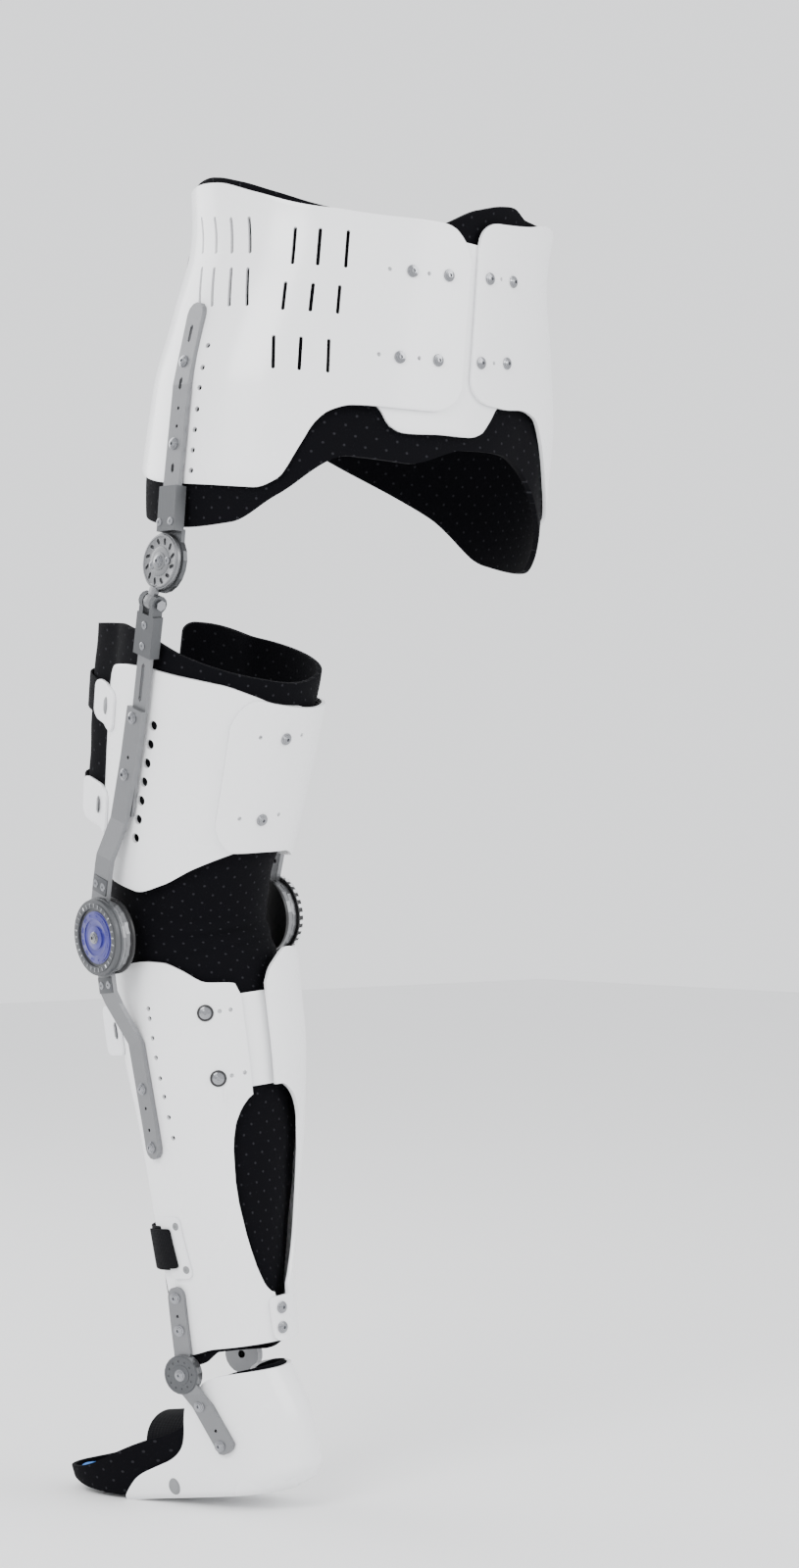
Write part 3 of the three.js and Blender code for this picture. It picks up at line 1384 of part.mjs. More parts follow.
const armEnd = { back: 0.32, up: -0.64 };
const footArm = [
  { up: 0, middle: 0, width: ankleBarWidth + 4 },
  { up: armEnd.up * 0.5 * soleDrop, middle: armEnd.back * 0.5 * soleDrop, width: ankleBarWidth + 4 },
  { up: armEnd.up * 0.9 * soleDrop, middle: armEnd.back * 0.9 * soleDrop, width: ankleBarWidth + 4 },
];
const armHoles = [
  { up: armEnd.up * 0.72 * soleDrop, middle: armEnd.back * 0.72 * soleDrop, width: 3.4 },
  { up: 0, middle: 0, width: 2 * (pinRadius - 1.5 + clearance) },
];
const footSideOut = ankleMiddle + footHalfWidth + clearance;
for (const side of [1, -1]) {
  const isLateral = side > 0;
  const discFace = isLateral ? lowerAnkleInner : upperMedial + ankleBarThick + clearance;
  const shellFace = isLateral ? footSideOut : footHalfWidth - ankleMiddle + clearance;
  add(footFrame, isLateral ? 'ankle_bar_lower_lateral' : 'ankle_bar_lower_medial', barSolid({
    side,
    face: [
      { up: ankleDiscRadius + 1, out: discFace },
      { up: -ankleDiscRadius, out: discFace },
      { up: -ankleDiscRadius - 12, out: shellFace },
      { up: -soleDrop, out: shellFace },
    ].reverse(),
    thick: ankleBarThick,
    strip: footArm,
    endRound: ankleBarWidth / 2,
    disc: { middle: 0, up: 0, radius: ankleDiscRadius },
    holes: armHoles,
  }), barGrey);
}

export default brace;
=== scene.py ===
import bisect
import json
import math

import bpy
import mathutils
from mathutils import Matrix, Vector


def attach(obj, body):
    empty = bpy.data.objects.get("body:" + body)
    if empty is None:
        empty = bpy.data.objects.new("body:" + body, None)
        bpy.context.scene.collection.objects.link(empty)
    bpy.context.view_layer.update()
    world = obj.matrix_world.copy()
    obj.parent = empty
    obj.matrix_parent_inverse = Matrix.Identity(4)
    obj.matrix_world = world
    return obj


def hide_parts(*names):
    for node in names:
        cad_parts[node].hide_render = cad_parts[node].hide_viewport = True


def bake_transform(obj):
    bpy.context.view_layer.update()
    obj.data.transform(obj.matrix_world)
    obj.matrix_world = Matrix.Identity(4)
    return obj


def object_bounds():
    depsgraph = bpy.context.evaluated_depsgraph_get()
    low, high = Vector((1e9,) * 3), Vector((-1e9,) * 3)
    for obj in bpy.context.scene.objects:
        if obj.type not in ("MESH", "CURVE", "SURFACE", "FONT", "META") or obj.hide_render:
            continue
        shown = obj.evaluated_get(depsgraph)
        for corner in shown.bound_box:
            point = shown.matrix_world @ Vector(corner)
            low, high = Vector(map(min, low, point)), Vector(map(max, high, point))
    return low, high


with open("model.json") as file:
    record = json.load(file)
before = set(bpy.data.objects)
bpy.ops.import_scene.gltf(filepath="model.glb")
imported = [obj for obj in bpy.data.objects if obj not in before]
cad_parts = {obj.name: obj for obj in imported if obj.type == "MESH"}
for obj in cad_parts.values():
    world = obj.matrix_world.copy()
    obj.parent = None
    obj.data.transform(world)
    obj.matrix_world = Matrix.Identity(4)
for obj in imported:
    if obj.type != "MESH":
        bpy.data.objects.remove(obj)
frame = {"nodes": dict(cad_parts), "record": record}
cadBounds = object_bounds()
nodes = frame["nodes"]
millimetre = 0.001

# how the brace stands, as in the solids; lengths in this file are millimetres until a piece is settled
leg = {"thighLength": 313, "thighHalf": 96, "shankLength": 404, "shankHalf": 84}
stance = {
    "pelvisTilt": -4.8, "hipPlace": (209, -12, -216), "hipFlexed": -17.6, "boltDrop": -37,
    "hipAdducted": 10.4, "kneePlace": (21.5, 0, -313), "kneeFlexed": 23.1,
    "anklePlace": (-34, -6, -404), "ankleTurned": 22.5,
}


def turned(axis, degrees):
    return Matrix.Rotation(math.radians(degrees), 4, axis)


pelvisFrame = turned("Y", stance["pelvisTilt"])
hipFrame = pelvisFrame @ Matrix.Translation(stance["hipPlace"])
linkFrame = hipFrame @ turned("X", stance["hipFlexed"])
thighFrame = linkFrame @ Matrix.Translation((0, 0, stance["boltDrop"])) @ turned("Y", stance["hipAdducted"])
shankFrame = thighFrame @ Matrix.Translation(stance["kneePlace"]) @ turned("X", stance["kneeFlexed"])
ankleFrame = shankFrame @ Matrix.Translation(stance["anklePlace"]) @ turned("Z", stance["ankleTurned"])
footFrame = ankleFrame


# a smooth line through points that never overshoots them
def smoothLine(xs, ys):
    steps = [(b - a) / (d - c) for a, b, c, d in zip(ys, ys[1:], xs, xs[1:])]
    slopes = [steps[0]]
    slopes += [0 if a * b <= 0 else 2 * a * b / (a + b) for a, b in zip(steps, steps[1:])]
    slopes.append(steps[-1])

    def at(x):
        if x <= xs[0]:
            return ys[0] + slopes[0] * (x - xs[0])
        if x >= xs[-1]:
            return ys[-1] + slopes[-1] * (x - xs[-1])
        i = bisect.bisect_right(xs, x) - 1
        width = xs[i + 1] - xs[i]
        t = (x - xs[i]) / width
        near = (1 + 2 * t) * (1 - t) ** 2 * ys[i] + t * (1 - t) ** 2 * width * slopes[i]
        return near + t * t * (3 - 2 * t) * ys[i + 1] + t * t * (t - 1) * width * slopes[i + 1]
    return at


# rows of a form: up, wide, deep, side, back as shares, and a turn in degrees
def makeForm(length, halfWidth, halfDepth, rows):
    ups = [row[0] * length for row in rows]
    sizes = (halfWidth, halfDepth, halfWidth, halfWidth, 1)
    lines = [smoothLine(ups, [row[i + 1] * size for row in rows]) for i, size in enumerate(sizes)]
    return {"length": length, "lines": lines}


band = makeForm(150, 210, 140, [
    (-1.27, 0.962, 1.043, 0, -0.067, 0), (-0.9, 0.995, 1.08, 0, -0.063, 0),
    (-0.4, 0.997, 1.045, 0, -0.035, 0), (0.1, 0.933, 1.016, 0, -0.01, 0),
    (0.6, 0.858, 1.007, 0, 0, 0), (1, 0.888, 1.03, 0, 0, 0)])
thigh = makeForm(leg["thighLength"], leg["thighHalf"], leg["thighHalf"], [
    (-0.87, 0.83, 0.865, -0.835, -0.06, 0), (-0.67, 0.9, 0.943, -0.905, -0.135, 0),
    (-0.28, 0.992, 1.045, -0.997, -0.216, 0), (-0.05, 1.01, 1.063, -1.015, -0.23, 0)])
calf = makeForm(leg["shankLength"], leg["shankHalf"], leg["shankHalf"], [
    (-1.03, 0.536, 0.69, -1.119, -0.036, 22.5), (-0.842, 0.607, 0.738, -1.113, -0.024, 20),
    (-0.693, 0.714, 0.798, -1.173, -0.012, 12), (-0.446, 0.881, 0.917, -1.315, -0.036, 3),
    (-0.248, 0.976, 1.012, -1.369, -0.071, 0), (-0.05, 1, 1.012, -1.369, -0.048, 0)])


# a point on a form: angle from the back towards the wearer's left, out is how far off the form
def pointOn(form, angle, up, out=0.0):
    wide, deep, side, back, turn = (line(up) for line in form["lines"])
    a = math.radians(angle)
    t = math.radians(turn)
    x = (wide + out) * math.sin(a)
    y = (deep + out) * math.cos(a)
    return Vector((side + x * math.cos(t) - y * math.sin(t), back + x * math.sin(t) + y * math.cos(t), up))


frontPad = {"reach": 60, "fade": 30}


# how far the padded front of a cuff stands off its form
def frontLift(angle, most):
    fromFront = abs((angle % 360) - 180)
    t = min(max((frontPad["reach"] - fromFront) / frontPad["fade"], 0), 1)
    return most * t * t * (3 - 2 * t)


# how far a liner dips behind a plate
def linerDip(dip, angle):
    past = max(abs(angle - dip["middle"]) - dip["half"], 0)
    return dip["depth"] * min(max(1 - past / dip["fade"], 0), 1)


# low waves over a padded liner
def waves(height, tall, wide):
    return lambda angle, up, s, t: height * math.sin(up / tall + angle / wide) - height


def seatOn(form, angle, up, out=0.0):
    here = pointOn(form, angle, up, out)
    around = (pointOn(form, angle + 1, up, out) - pointOn(form, angle - 1, up, out)).normalized()
    rise = (pointOn(form, angle, up + 1, out) - pointOn(form, angle, up - 1, out)).normalized()
    normal = rise.cross(around).normalized()
    return basisAt(here, rise.cross(normal), rise, normal)


def basisAt(place, x, y, z):
    rows = [(x[i], y[i], z[i], place[i]) for i in range(3)]
    return Matrix(rows + [(0, 0, 0, 1)])


# a seat where a line across the leg first meets a solid of the frame
def seatOnNode(node, place, y, z, side=1):
    farOut = 300
    mesh = nodes[node].data
    tree = mathutils.bvhtree.BVHTree.FromPolygons(
        [v.co for v in mesh.vertices], [p.vertices for p in mesh.polygons])
    start = place @ Vector((side * farOut, y, z)) * millimetre
    ahead = place.to_3x3() @ Vector((-side, 0, 0))
    hit, normal, _, _ = tree.ray_cast(start, ahead)
    if hit is None:
        raise SystemExit("nothing of " + node + " lies there")
    if normal.dot(ahead) > 0:
        normal = -normal
    upward = place.to_3x3() @ Vector((0, 0, 1))
    across = upward.cross(normal).normalized()
    return basisAt(hit / millimetre, across, normal.cross(across), normal)


# small steps of modelling

def clearSelection():
    if bpy.context.object and bpy.context.object.mode != "OBJECT":
        bpy.ops.object.mode_set(mode="OBJECT")
    bpy.ops.object.select_all(action="DESELECT")


def choose(piece):
    clearSelection()
    piece.select_set(True)
    bpy.context.view_layer.objects.active = piece


def applied(piece, kind, **settings):
    choose(piece)
    modifier = piece.modifiers.new(kind.lower(), kind)
    for name, value in settings.items():
        setattr(modifier, name, value)
    bpy.ops.object.modifier_apply(modifier=modifier.name)
    return piece


def rounded(piece, width, degrees):
    return applied(piece, "BEVEL", width=width, segments=2, limit_method="ANGLE",
                   angle_limit=math.radians(degrees))


def joined(name, parts):
    clearSelection()
    for part in parts:
        part.select_set(True)
    bpy.context.view_layer.objects.active = parts[0]
    if len(parts) > 1:
        bpy.ops.object.join()
    parts[0].name = name
    return parts[0]


def cut(piece, cutters, operation="DIFFERENCE"):
    if not cutters:
        return piece
    tool = joined("cutter", cutters)
    applied(piece, "BOOLEAN", object=tool, operation=operation, solver="EXACT")
    bpy.data.objects.remove(tool, do_unlink=True)
    return piece


# the grid is pulled over a shape: mapping gives a point and a place on the cloth for each column and row
def gridPiece(name, columns, rows, mapping, isClosed=False, isOpen=None):
    clearSelection()
    bpy.ops.mesh.primitive_grid_add(x_subdivisions=columns, y_subdivisions=rows, size=2)
    piece = bpy.context.object
    piece.name = name
    for polygon in piece.data.polygons:
        polygon.select = bool(isOpen and isOpen((polygon.center.x + 1) / 2, (polygon.center.y + 1) / 2))
    flat = {}
    for vertex in piece.data.vertices:
        s, t = (vertex.co.x + 1) / 2, (vertex.co.y + 1) / 2
        vertex.co, flat[vertex.index] = mapping(s, t)
    layer = piece.data.uv_layers.active or piece.data.uv_layers.new(name="cloth")
    for loop in piece.data.loops:
        layer.data[loop.index].uv = flat[loop.vertex_index]
    if isOpen:
        bpy.context.tool_settings.mesh_select_mode = (False, False, True)
        bpy.ops.object.mode_set(mode="EDIT")
        bpy.ops.mesh.delete(type="FACE")
        bpy.ops.object.mode_set(mode="OBJECT")
    if isClosed:
        bpy.ops.object.mode_set(mode="EDIT")
        bpy.ops.mesh.select_mode(type="VERT")
        bpy.ops.mesh.select_all(action="SELECT")
        bpy.ops.mesh.remove_doubles(threshold=0.02)
        bpy.ops.object.mode_set(mode="OBJECT")
    return piece


def thickened(piece, wall, roundEdge):
    applied(piece, "SOLIDIFY", thickness=wall, offset=-1)
    return rounded(piece, roundEdge, 50)


# a block of a width, depth and height, with its middle at a place
def block(place, size):
    clearSelection()
    bpy.ops.mesh.primitive_cube_add(size=1)
    piece = bpy.context.object
    piece.data.transform(place @ Matrix.Diagonal((*size, 1)))
    return piece


# puts a piece in the frame, in metres, with its finish and the body it moves with
def settle(piece, place, body, finish, replaces=()):
    piece.data.transform(Matrix.Scale(millimetre, 4) @ place)
    piece.data.materials.clear()
    piece.data.materials.append(finish)
    choose(piece)
    bpy.ops.object.shade_smooth_by_angle(angle=math.radians(35))
    if body:
        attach(piece, body)
    if replaces:
        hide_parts(*replaces)
    return piece


# for the grid of a wall: steps round a corner, the rise that counts as a step in its edge, and a nudge
cornerSteps, steepStep, nudge = 6, 60, 1e-6


# a wall on a form inside an outline: rows of angle, bottom and top, heights as shares of the form's length.
# Where a window is given, the middle third of the grid's rows lies in it and is left out
def wallPiece(name, form, rows, outer, wall, corner=0.0, spacing=4.0, roundEdge=1.1, puff=None, window=None):
    angles = [row[0] for row in rows]
    length = form["length"]
    low = smoothLine(angles, [row[1] * length for row in rows])
    high = smoothLine(angles, [row[2] * length for row in rows])
    first, last = angles[0], angles[-1]
    middle = (low(first) + high(first)) / 2
    perDegree = math.radians(1) * (form["lines"][0](middle) + form["lines"][1](middle)) / 2
    count = max(int((last - first) * perDegree / spacing), 4)
    stops = {first + (last - first) * i / count for i in range(count + 1)} | set(angles)
    for i in range(1, cornerSteps + 1):
        along = corner * (1 - math.cos(math.pi / 2 * i / cornerSteps)) / perDegree
        if corner:
            stops |= {first + along, last - along}
    if window:
        sides = [row[0] for row in window]
        sill = smoothLine(sides, [row[1] * length for row in window])
        lintel = smoothLine(sides, [row[2] * length for row in window])
        stops |= {angle for angle in sides if first < angle < last}
    stops = sorted(stops, reverse=True)
    tallest = max(high(a) - low(a) for a in stops)
    standOff = outer if callable(outer) else (lambda angle: outer)

    def isOpen(s, t):
        i = min(int(s * (len(stops) - 1)), len(stops) - 2)
        isSteep = abs(high(stops[i]) - high(stops[i + 1])) > steepStep
        isBeside = sides[0] <= stops[i + 1] and stops[i] <= sides[-1]
        return (isSteep and t > 1 / 3) or (isBeside and 1 / 3 < t < 2 / 3)

    def mapping(s, t):
        at = s * (len(stops) - 1) + nudge
        i = min(int(at), len(stops) - 2)
        angle = stops[i] + (stops[i + 1] - stops[i]) * (at - i)
        along = min(angle - first, last - angle) * perDegree
        inside = max(corner - along, 0)
        pull = corner - math.sqrt(max(corner * corner - inside * inside, 0))
        bottom, top = low(angle) + pull, high(angle) - pull
        up = bottom + (top - bottom) * t
        if window:
            beside = min(max(angle, sides[0]), sides[-1])
            heights = [bottom, *(min(max(line(beside), bottom), top) for line in (sill, lintel)), top]
            third = min(int(3 * t + nudge), 2)
            up = heights[third] + (heights[third + 1] - heights[third]) * (3 * t - third)
        out = standOff(angle) + (puff(angle, up, s, t) if puff else 0)
        return pointOn(form, angle, up, out), (angle * perDegree * millimetre, up * millimetre)
    rowCount = max(int(tallest / spacing / 3), 1) * 3
    piece = gridPiece(name, len(stops) - 1, rowCount, mapping, bool(window), isOpen if window else None)
    return thickened(piece, wall, roundEdge)


# a round or long hole, cut square to the seat
def holeCutter(place, width, length=None, depth=24, sides=16):
    clearSelection()
    bpy.ops.mesh.primitive_cylinder_add(vertices=sides, radius=width / 2, depth=depth)
    piece = bpy.context.object
    piece.data.transform(turned("Z", 180 / sides))
    straight = ((length or width) - width) / 2
    for vertex in piece.data.vertices:
        vertex.co.y += math.copysign(straight, vertex.co.y)
    piece.data.transform(place)
    return piece


def holesOn(form, places, width):
    return [holeCutter(seatOn(form, angle, up), width) for angle, up in places]


# a slot from one place on a form to another
def slotCutter(form, top, bottom, width):
    a, b = pointOn(form, *top), pointOn(form, *bottom)
    seat = seatOn(form, (top[0] + bottom[0]) / 2, (top[1] + bottom[1]) / 2)
    local = seat.to_3x3().inverted() @ (a - b)
    lean = math.degrees(math.atan2(-local.x, local.y))
    return holeCutter(seat @ turned("Z", lean), width, (a - b).length + width)


# a turned piece: radius and height of each step, from the rim inwards
def turnedPiece(steps, sides, roundEdge):
    clearSelection()
    radius, height = steps[0]
    bpy.ops.mesh.primitive_cylinder_add(
        vertices=sides, radius=radius, depth=height, location=(0, 0, height / 2))
    piece = bpy.context.object
    bpy.ops.object.transform_apply(location=True, rotation=False, scale=False)
    for polygon in piece.data.polygons:
        polygon.select = polygon.normal.z > 0.9
    for vertex in piece.data.vertices:
        vertex.select = vertex.co.z > height / 2
    for edge in piece.data.edges:
        edge.select = all(piece.data.vertices[i].select for i in edge.vertices)
    bpy.ops.object.mode_set(mode="EDIT")
    bpy.ops.mesh.select_mode(type="FACE")
    for nextRadius, nextHeight in steps[1:]:
        if radius - nextRadius > 0.01:
            bpy.ops.mesh.inset(thickness=radius - nextRadius)
        if abs(nextHeight - height) > 0.01:
            bpy.ops.mesh.extrude_region_move(TRANSFORM_OT_translate={"value": (0, 0, nextHeight - height)})
        radius, height = nextRadius, nextHeight
    bpy.ops.object.mode_set(mode="OBJECT")
    return rounded(piece, roundEdge, 40)


# finishes

def nodeGroup(name, inputs, outputs):
    tree = bpy.data.node_groups.new(name, "ShaderNodeTree")
    for label, value in inputs:
        socket = tree.interface.new_socket(name=label, in_out="INPUT", socket_type="NodeSocketFloat")
        socket.default_value = value
    for label in outputs:
        tree.interface.new_socket(name=label, in_out="OUTPUT", socket_type="NodeSocketFloat")
    return tree, tree.nodes.new("NodeGroupInput"), tree.nodes.new("NodeGroupOutput")


def wire(tree, kind, values=(), **settings):
    node = tree.nodes.new(kind)
    for name, value in settings.items():
        setattr(node, name, value)
    for key, value in dict(values).items():
        if isinstance(value, bpy.types.NodeSocket):
            tree.links.new(value, node.inputs[key])
        else:
            node.inputs[key].default_value = value
    return node


def reckon(tree, operation, a, b=0.0, c=None):
    values = {0: a, 1: b}
    if c is not None:
        values[2] = c
    return wire(tree, "ShaderNodeMath", values, operation=operation).outputs[0]


# soft uneven spread of tone over a surface
def makeMottle():
    tree, given, result = nodeGroup("mottle", [("Size", 0.05)], ["Value"])
    scale = reckon(tree, "DIVIDE", 1.0, given.outputs["Size"])
    where = wire(tree, "ShaderNodeTexCoord").outputs["Object"]
    noise = wire(tree, "ShaderNodeTexNoise", {
        "Vector": where, "Scale": scale, "Detail": 4.0, "Roughness": 0.55})
    tree.links.new(noise.outputs["Fac"], result.inputs["Value"])
    return tree


# short scratches that run along the bars
def makeBrushing():
    tree, given, result = nodeGroup("brushing", [("Fineness", 900.0)], ["Value"])
    where = wire(tree, "ShaderNodeTexCoord").outputs["Object"]
    squeezed = wire(tree, "ShaderNodeMapping", {"Vector": where, "Scale": (1.0, 1.0, 0.03)})
    noise = wire(tree, "ShaderNodeTexNoise", {
        "Vector": squeezed.outputs[0], "Scale": given.outputs["Fineness"], "Detail": 3.0})
    tree.links.new(noise.outputs["Fac"], result.inputs["Value"])
    return tree


# rows of punched holes set on the cross, over the cloth's own surface
def makePunching():
    tree, given, result = nodeGroup("punching", [("Pitch", 0.0125), ("Radius", 0.09)], ["Mask"])
    cloth = wire(tree, "ShaderNodeUVMap").outputs[0]
    onCross = wire(tree, "ShaderNodeMapping", {"Vector": cloth, "Rotation": (0.0, 0.0, math.radians(45))})
    parts = wire(tree, "ShaderNodeSeparateXYZ", {0: onCross.outputs[0]}).outputs
    offs = []
    for part in (parts[0], parts[1]):
        cell = reckon(tree, "FRACT", reckon(tree, "DIVIDE", part, given.outputs["Pitch"]))
        offs.append(reckon(tree, "POWER", reckon(tree, "SUBTRACT", cell, 0.5), 2.0))
    away = reckon(tree, "SQRT", reckon(tree, "ADD", *offs))
    edge = reckon(tree, "SUBTRACT", given.outputs["Radius"], away)
    mask = wire(tree, "ShaderNodeClamp", {0: reckon(tree, "MULTIPLY_ADD", edge, 30.0, 0.5)}).outputs[0]
    tree.links.new(mask, result.inputs["Mask"])
    return tree


# threads of a woven band or knit, over the cloth's own surface
def makeThreads():
    tree, given, result = nodeGroup("threads", [("Across", 1400.0), ("Along", 900.0)], ["Height"])
    cloth = wire(tree, "ShaderNodeUVMap").outputs[0]
    parts = wire(tree, "ShaderNodeSeparateXYZ", {0: cloth}).outputs
    waves = []
    for part, name in ((parts[0], "Across"), (parts[1], "Along")):
        angle = reckon(tree, "MULTIPLY", part, given.outputs[name])
        waves.append(reckon(tree, "ABSOLUTE", reckon(tree, "SINE", angle)))
    tree.links.new(reckon(tree, "MULTIPLY", *waves), result.inputs["Height"])
    return tree


groups = {
    "mottle": makeMottle(), "brushing": makeBrushing(), "punching": makePunching(), "threads": makeThreads(),
}


def placed(tree, name, **values):
    node = wire(tree, "ShaderNodeGroup")
    node.node_tree = groups[name]
    for label, value in values.items():
        node.inputs[label].default_value = value
    return node.outputs[0]


def makeFinish(name, color, rough, metallic=0.0, spread=0.06, roughSpread=0.08, mottle=0.04, bump=0.0,
               pattern=None, patternValues=None, patternColor=None, plain=None):
    finish = bpy.data.materials.new(name)
    finish.use_nodes = True
    tree = finish.node_tree
    shader = tree.nodes["Principled BSDF"]
    shader.inputs["Metallic"].default_value = metallic
    for socket, value in (plain or {}).items():
        shader.inputs[socket].default_value = value
    tone = placed(tree, "mottle", Size=mottle)
    dark = tuple(c * (1 - spread) for c in color) + (1.0,)
    light = tuple(min(c * (1 + spread), 1.0) for c in color) + (1.0,)
    mix = wire(tree, "ShaderNodeMix", {0: tone, 6: dark, 7: light}, data_type="RGBA")
    base = mix.outputs[2]
    height = tone
    if pattern:
        height = placed(tree, pattern, **(patternValues or {}))
        if patternColor:
            mask = height
            punched = wire(tree, "ShaderNodeMix", {
                0: mask, 6: base, 7: (*patternColor, 1.0)}, data_type="RGBA")
            base = punched.outputs[2]
            fine = placed(tree, "threads", Across=2600.0, Along=2600.0)
            height = reckon(tree, "MULTIPLY_ADD", fine, 0.25, reckon(tree, "MULTIPLY", mask, -1.0))
    tree.links.new(base, shader.inputs["Base Color"])
    uneven = height if pattern == "brushing" else tone
    roughness = reckon(tree, "MULTIPLY_ADD", uneven, 2 * roughSpread, rough - roughSpread)
    tree.links.new(roughness, shader.inputs["Roughness"])
    if bump:
        normal = wire(tree, "ShaderNodeBump", {"Height": height, "Strength": bump, "Distance": 0.0006})
        tree.links.new(normal.outputs[0], shader.inputs["Normal"])
    return finish


finishes = {
    "shell_white": makeFinish("shellWhite", (0.86, 0.865, 0.875), 0.27, spread=0.012, mottle=0.09, bump=0.04,
                              plain={"Coat Weight": 0.35, "Coat Roughness": 0.16, "IOR": 1.5}),
    "tab_white": makeFinish("tabWhite", (0.82, 0.825, 0.84), 0.4, spread=0.02, mottle=0.03, bump=0.08),
    "liner_black": makeFinish("linerBlack", (0.002, 0.002, 0.003), 0.9, spread=0.25, mottle=0.02, bump=0.55,
                              pattern="punching", patternColor=(0.016, 0.016, 0.019),
                              plain={"Specular IOR Level": 0.07}),
    "strap_black": makeFinish("strapBlack", (0.003, 0.003, 0.004), 0.85, spread=0.3, mottle=0.01, bump=0.8,
                              pattern="threads", plain={"Specular IOR Level": 0.1}),
    "bar_grey": makeFinish("barGrey", (0.2, 0.203, 0.21), 0.38, metallic=0.85, spread=0.05, bump=0.12,
                           pattern="brushing", roughSpread=0.1),
    "housing_grey": makeFinish("housingGrey", (0.1, 0.103, 0.108), 0.4, metallic=0.85, spread=0.08, bump=0.15,
                               pattern="brushing"),
    "chrome": makeFinish("chrome", (0.28, 0.285, 0.3), 0.14, metallic=1.0, spread=0.05, mottle=0.006),
    "hub_violet": makeFinish("hubViolet", (0.025, 0.022, 0.2), 0.3, metallic=0.25, spread=0.5, mottle=0.012,
                             plain={"Coat Weight": 0.6, "Coat Roughness": 0.08}),
    "insole_blue": makeFinish("insoleBlue", (0.01, 0.16, 0.55), 0.7, spread=0.2, mottle=0.01, bump=0.5,
                              pattern="threads", patternValues={"Across": 1800.0, "Along": 1800.0}),
}
blackPlastic = makeFinish("blackPlastic", (0.008, 0.008, 0.009), 0.4, spread=0.2, mottle=0.01)
rivetGrey = makeFinish("rivetGrey", (0.22, 0.225, 0.23), 0.45, metallic=0.3, spread=0.08, mottle=0.01)

slotOf = {part["node"]: part["material_slot"] for part in frame["record"]["subparts"]}
for nodeName, node in nodes.items():
    node.data.materials.clear()
    node.data.materials.append(finishes[slotOf[nodeName]])
print("frame and finishes ready")


# camera, light and floor; the lights and the floor are in metres

view = {"turn": 0.72871, "pitch": -0.00678, "away": 3240.8, "side": 31.39, "up": -392.67, "lens": 80.75,
        "sensor": 36}
studio = {"sky": (0.94, 0.95, 0.97, 1), "skyStrength": 1.6, "floorSize": 14, "floorGap": 0.002}
lights = {
    "keyLight": {"place": (3.2, 1.2, 1.6), "aim": (0.1, 0, -0.4), "size": 1.8, "power": 110},
    "backLight": {"place": (-1.6, 3.0, 1.2), "aim": (0, 0, -0.4), "size": 2.2, "power": 70},
    "frontLight": {"place": (0.8, -3.0, 1.0), "aim": (0.1, 0, -0.5), "size": 2.2, "power": 50},
}


def addCamera():
    rightward = Vector((-math.cos(view["turn"]), math.sin(view["turn"]), 0))
    target = Vector((0, 0, view["up"])) + view["side"] * rightward
    flat = math.cos(view["pitch"])
    back = Vector((math.sin(view["turn"]) * flat, math.cos(view["turn"]) * flat, math.sin(view["pitch"])))
    data = bpy.data.cameras.new("camera")
    data.lens = view["lens"]
    data.sensor_width = view["sensor"]
    camera = bpy.data.objects.new("camera", data)
    bpy.context.collection.objects.link(camera)
    place = (target + view["away"] * back) * millimetre
    camera.matrix_world = basisAt(place, rightward, back.cross(rightward), back)
    bpy.context.scene.camera = camera


def addLight(name, place, aim, size, power):
    data = bpy.data.lights.new(name, "AREA")
    data.size = size
    data.energy = power
    light = bpy.data.objects.new(name, data)
    bpy.context.collection.objects.link(light)
    ahead = (Vector(aim) - Vector(place)).normalized()
    light.matrix_world = Matrix.Translation(place) @ ahead.to_track_quat("-Z", "Y").to_matrix().to_4x4()


addCamera()
for name, light in lights.items():
    addLight(name, **light)
world = bpy.data.worlds.new("studio")
world.use_nodes = True
world.node_tree.nodes["Background"].inputs[0].default_value = studio["sky"]
world.node_tree.nodes["Background"].inputs[1].default_value = studio["skyStrength"]
bpy.context.scene.world = world
floorFinish = makeFinish("floorPaint", (0.86, 0.86, 0.86), 0.7, spread=0.01, mottle=0.4)
clearSelection()
bpy.ops.mesh.primitive_plane_add(size=studio["floorSize"])
floor = bpy.context.object
floor.name = "floor"
lowest = min(corner[2] for corner in cadBounds)
floor.data.transform(Matrix.Translation((0, 0, lowest - studio["floorGap"])))
floor.data.materials.append(floorFinish)


# screws and rivets: each kind is modelled once and copied to its places

fixingKinds = {
    "domed": {"steps": [(5.6, 0.7), (5.2, 1.5), (4.2, 2.4), (2.9, 2.9)], "sides": 24, "round": 0.25,
              "socket": {"up": 3, "width": 3.4, "depth": 3}},
    "flat": {"steps": [(3.6, 0.5), (3.1, 0.7), (2.6, 0.7)], "sides": 20, "round": 0.1,
             "socket": {"up": 1, "width": 2.4, "depth": 1.6}},
    "washer": {"steps": [(7.6, 0.8), (7.0, 1.1)], "sides": 28, "round": 0.2},
    "rivet": {"steps": [(6.4, 0.6), (6.0, 1.2), (4.6, 1.7)], "sides": 28, "round": 0.4, "stretch": 1.25},
}


def makeFixing(kind):
    p = fixingKinds[kind]
    piece = turnedPiece(p["steps"], p["sides"], p["round"])
    if "socket" in p:
        place = Matrix.Translation((0, 0, p["socket"]["up"]))
        cut(piece, [holeCutter(place, p["socket"]["width"], depth=p["socket"]["depth"], sides=6)])
    if "stretch" in p:
        piece.data.transform(Matrix.Diagonal((1, p["stretch"], 1, 1)))
    return piece


models = {kind: makeFixing(kind) for kind in fixingKinds}
for model in models.values():
    model.hide_render = True


def fixings(name, kind, places, body, finish, replaces=()):
    copies = []
    for place in places:
        piece = bpy.data.objects.new(name, models[kind].data.copy())
        bpy.context.collection.objects.link(piece)
        piece.data.transform(place)
        copies.append(piece)
    return settle(joined(name, copies), Matrix.Identity(4), body, finish, replaces)


def brightScrews(name, kind, places, body, replaces=()):
    return fixings(name, kind, places, body, finishes["chrome"], replaces)


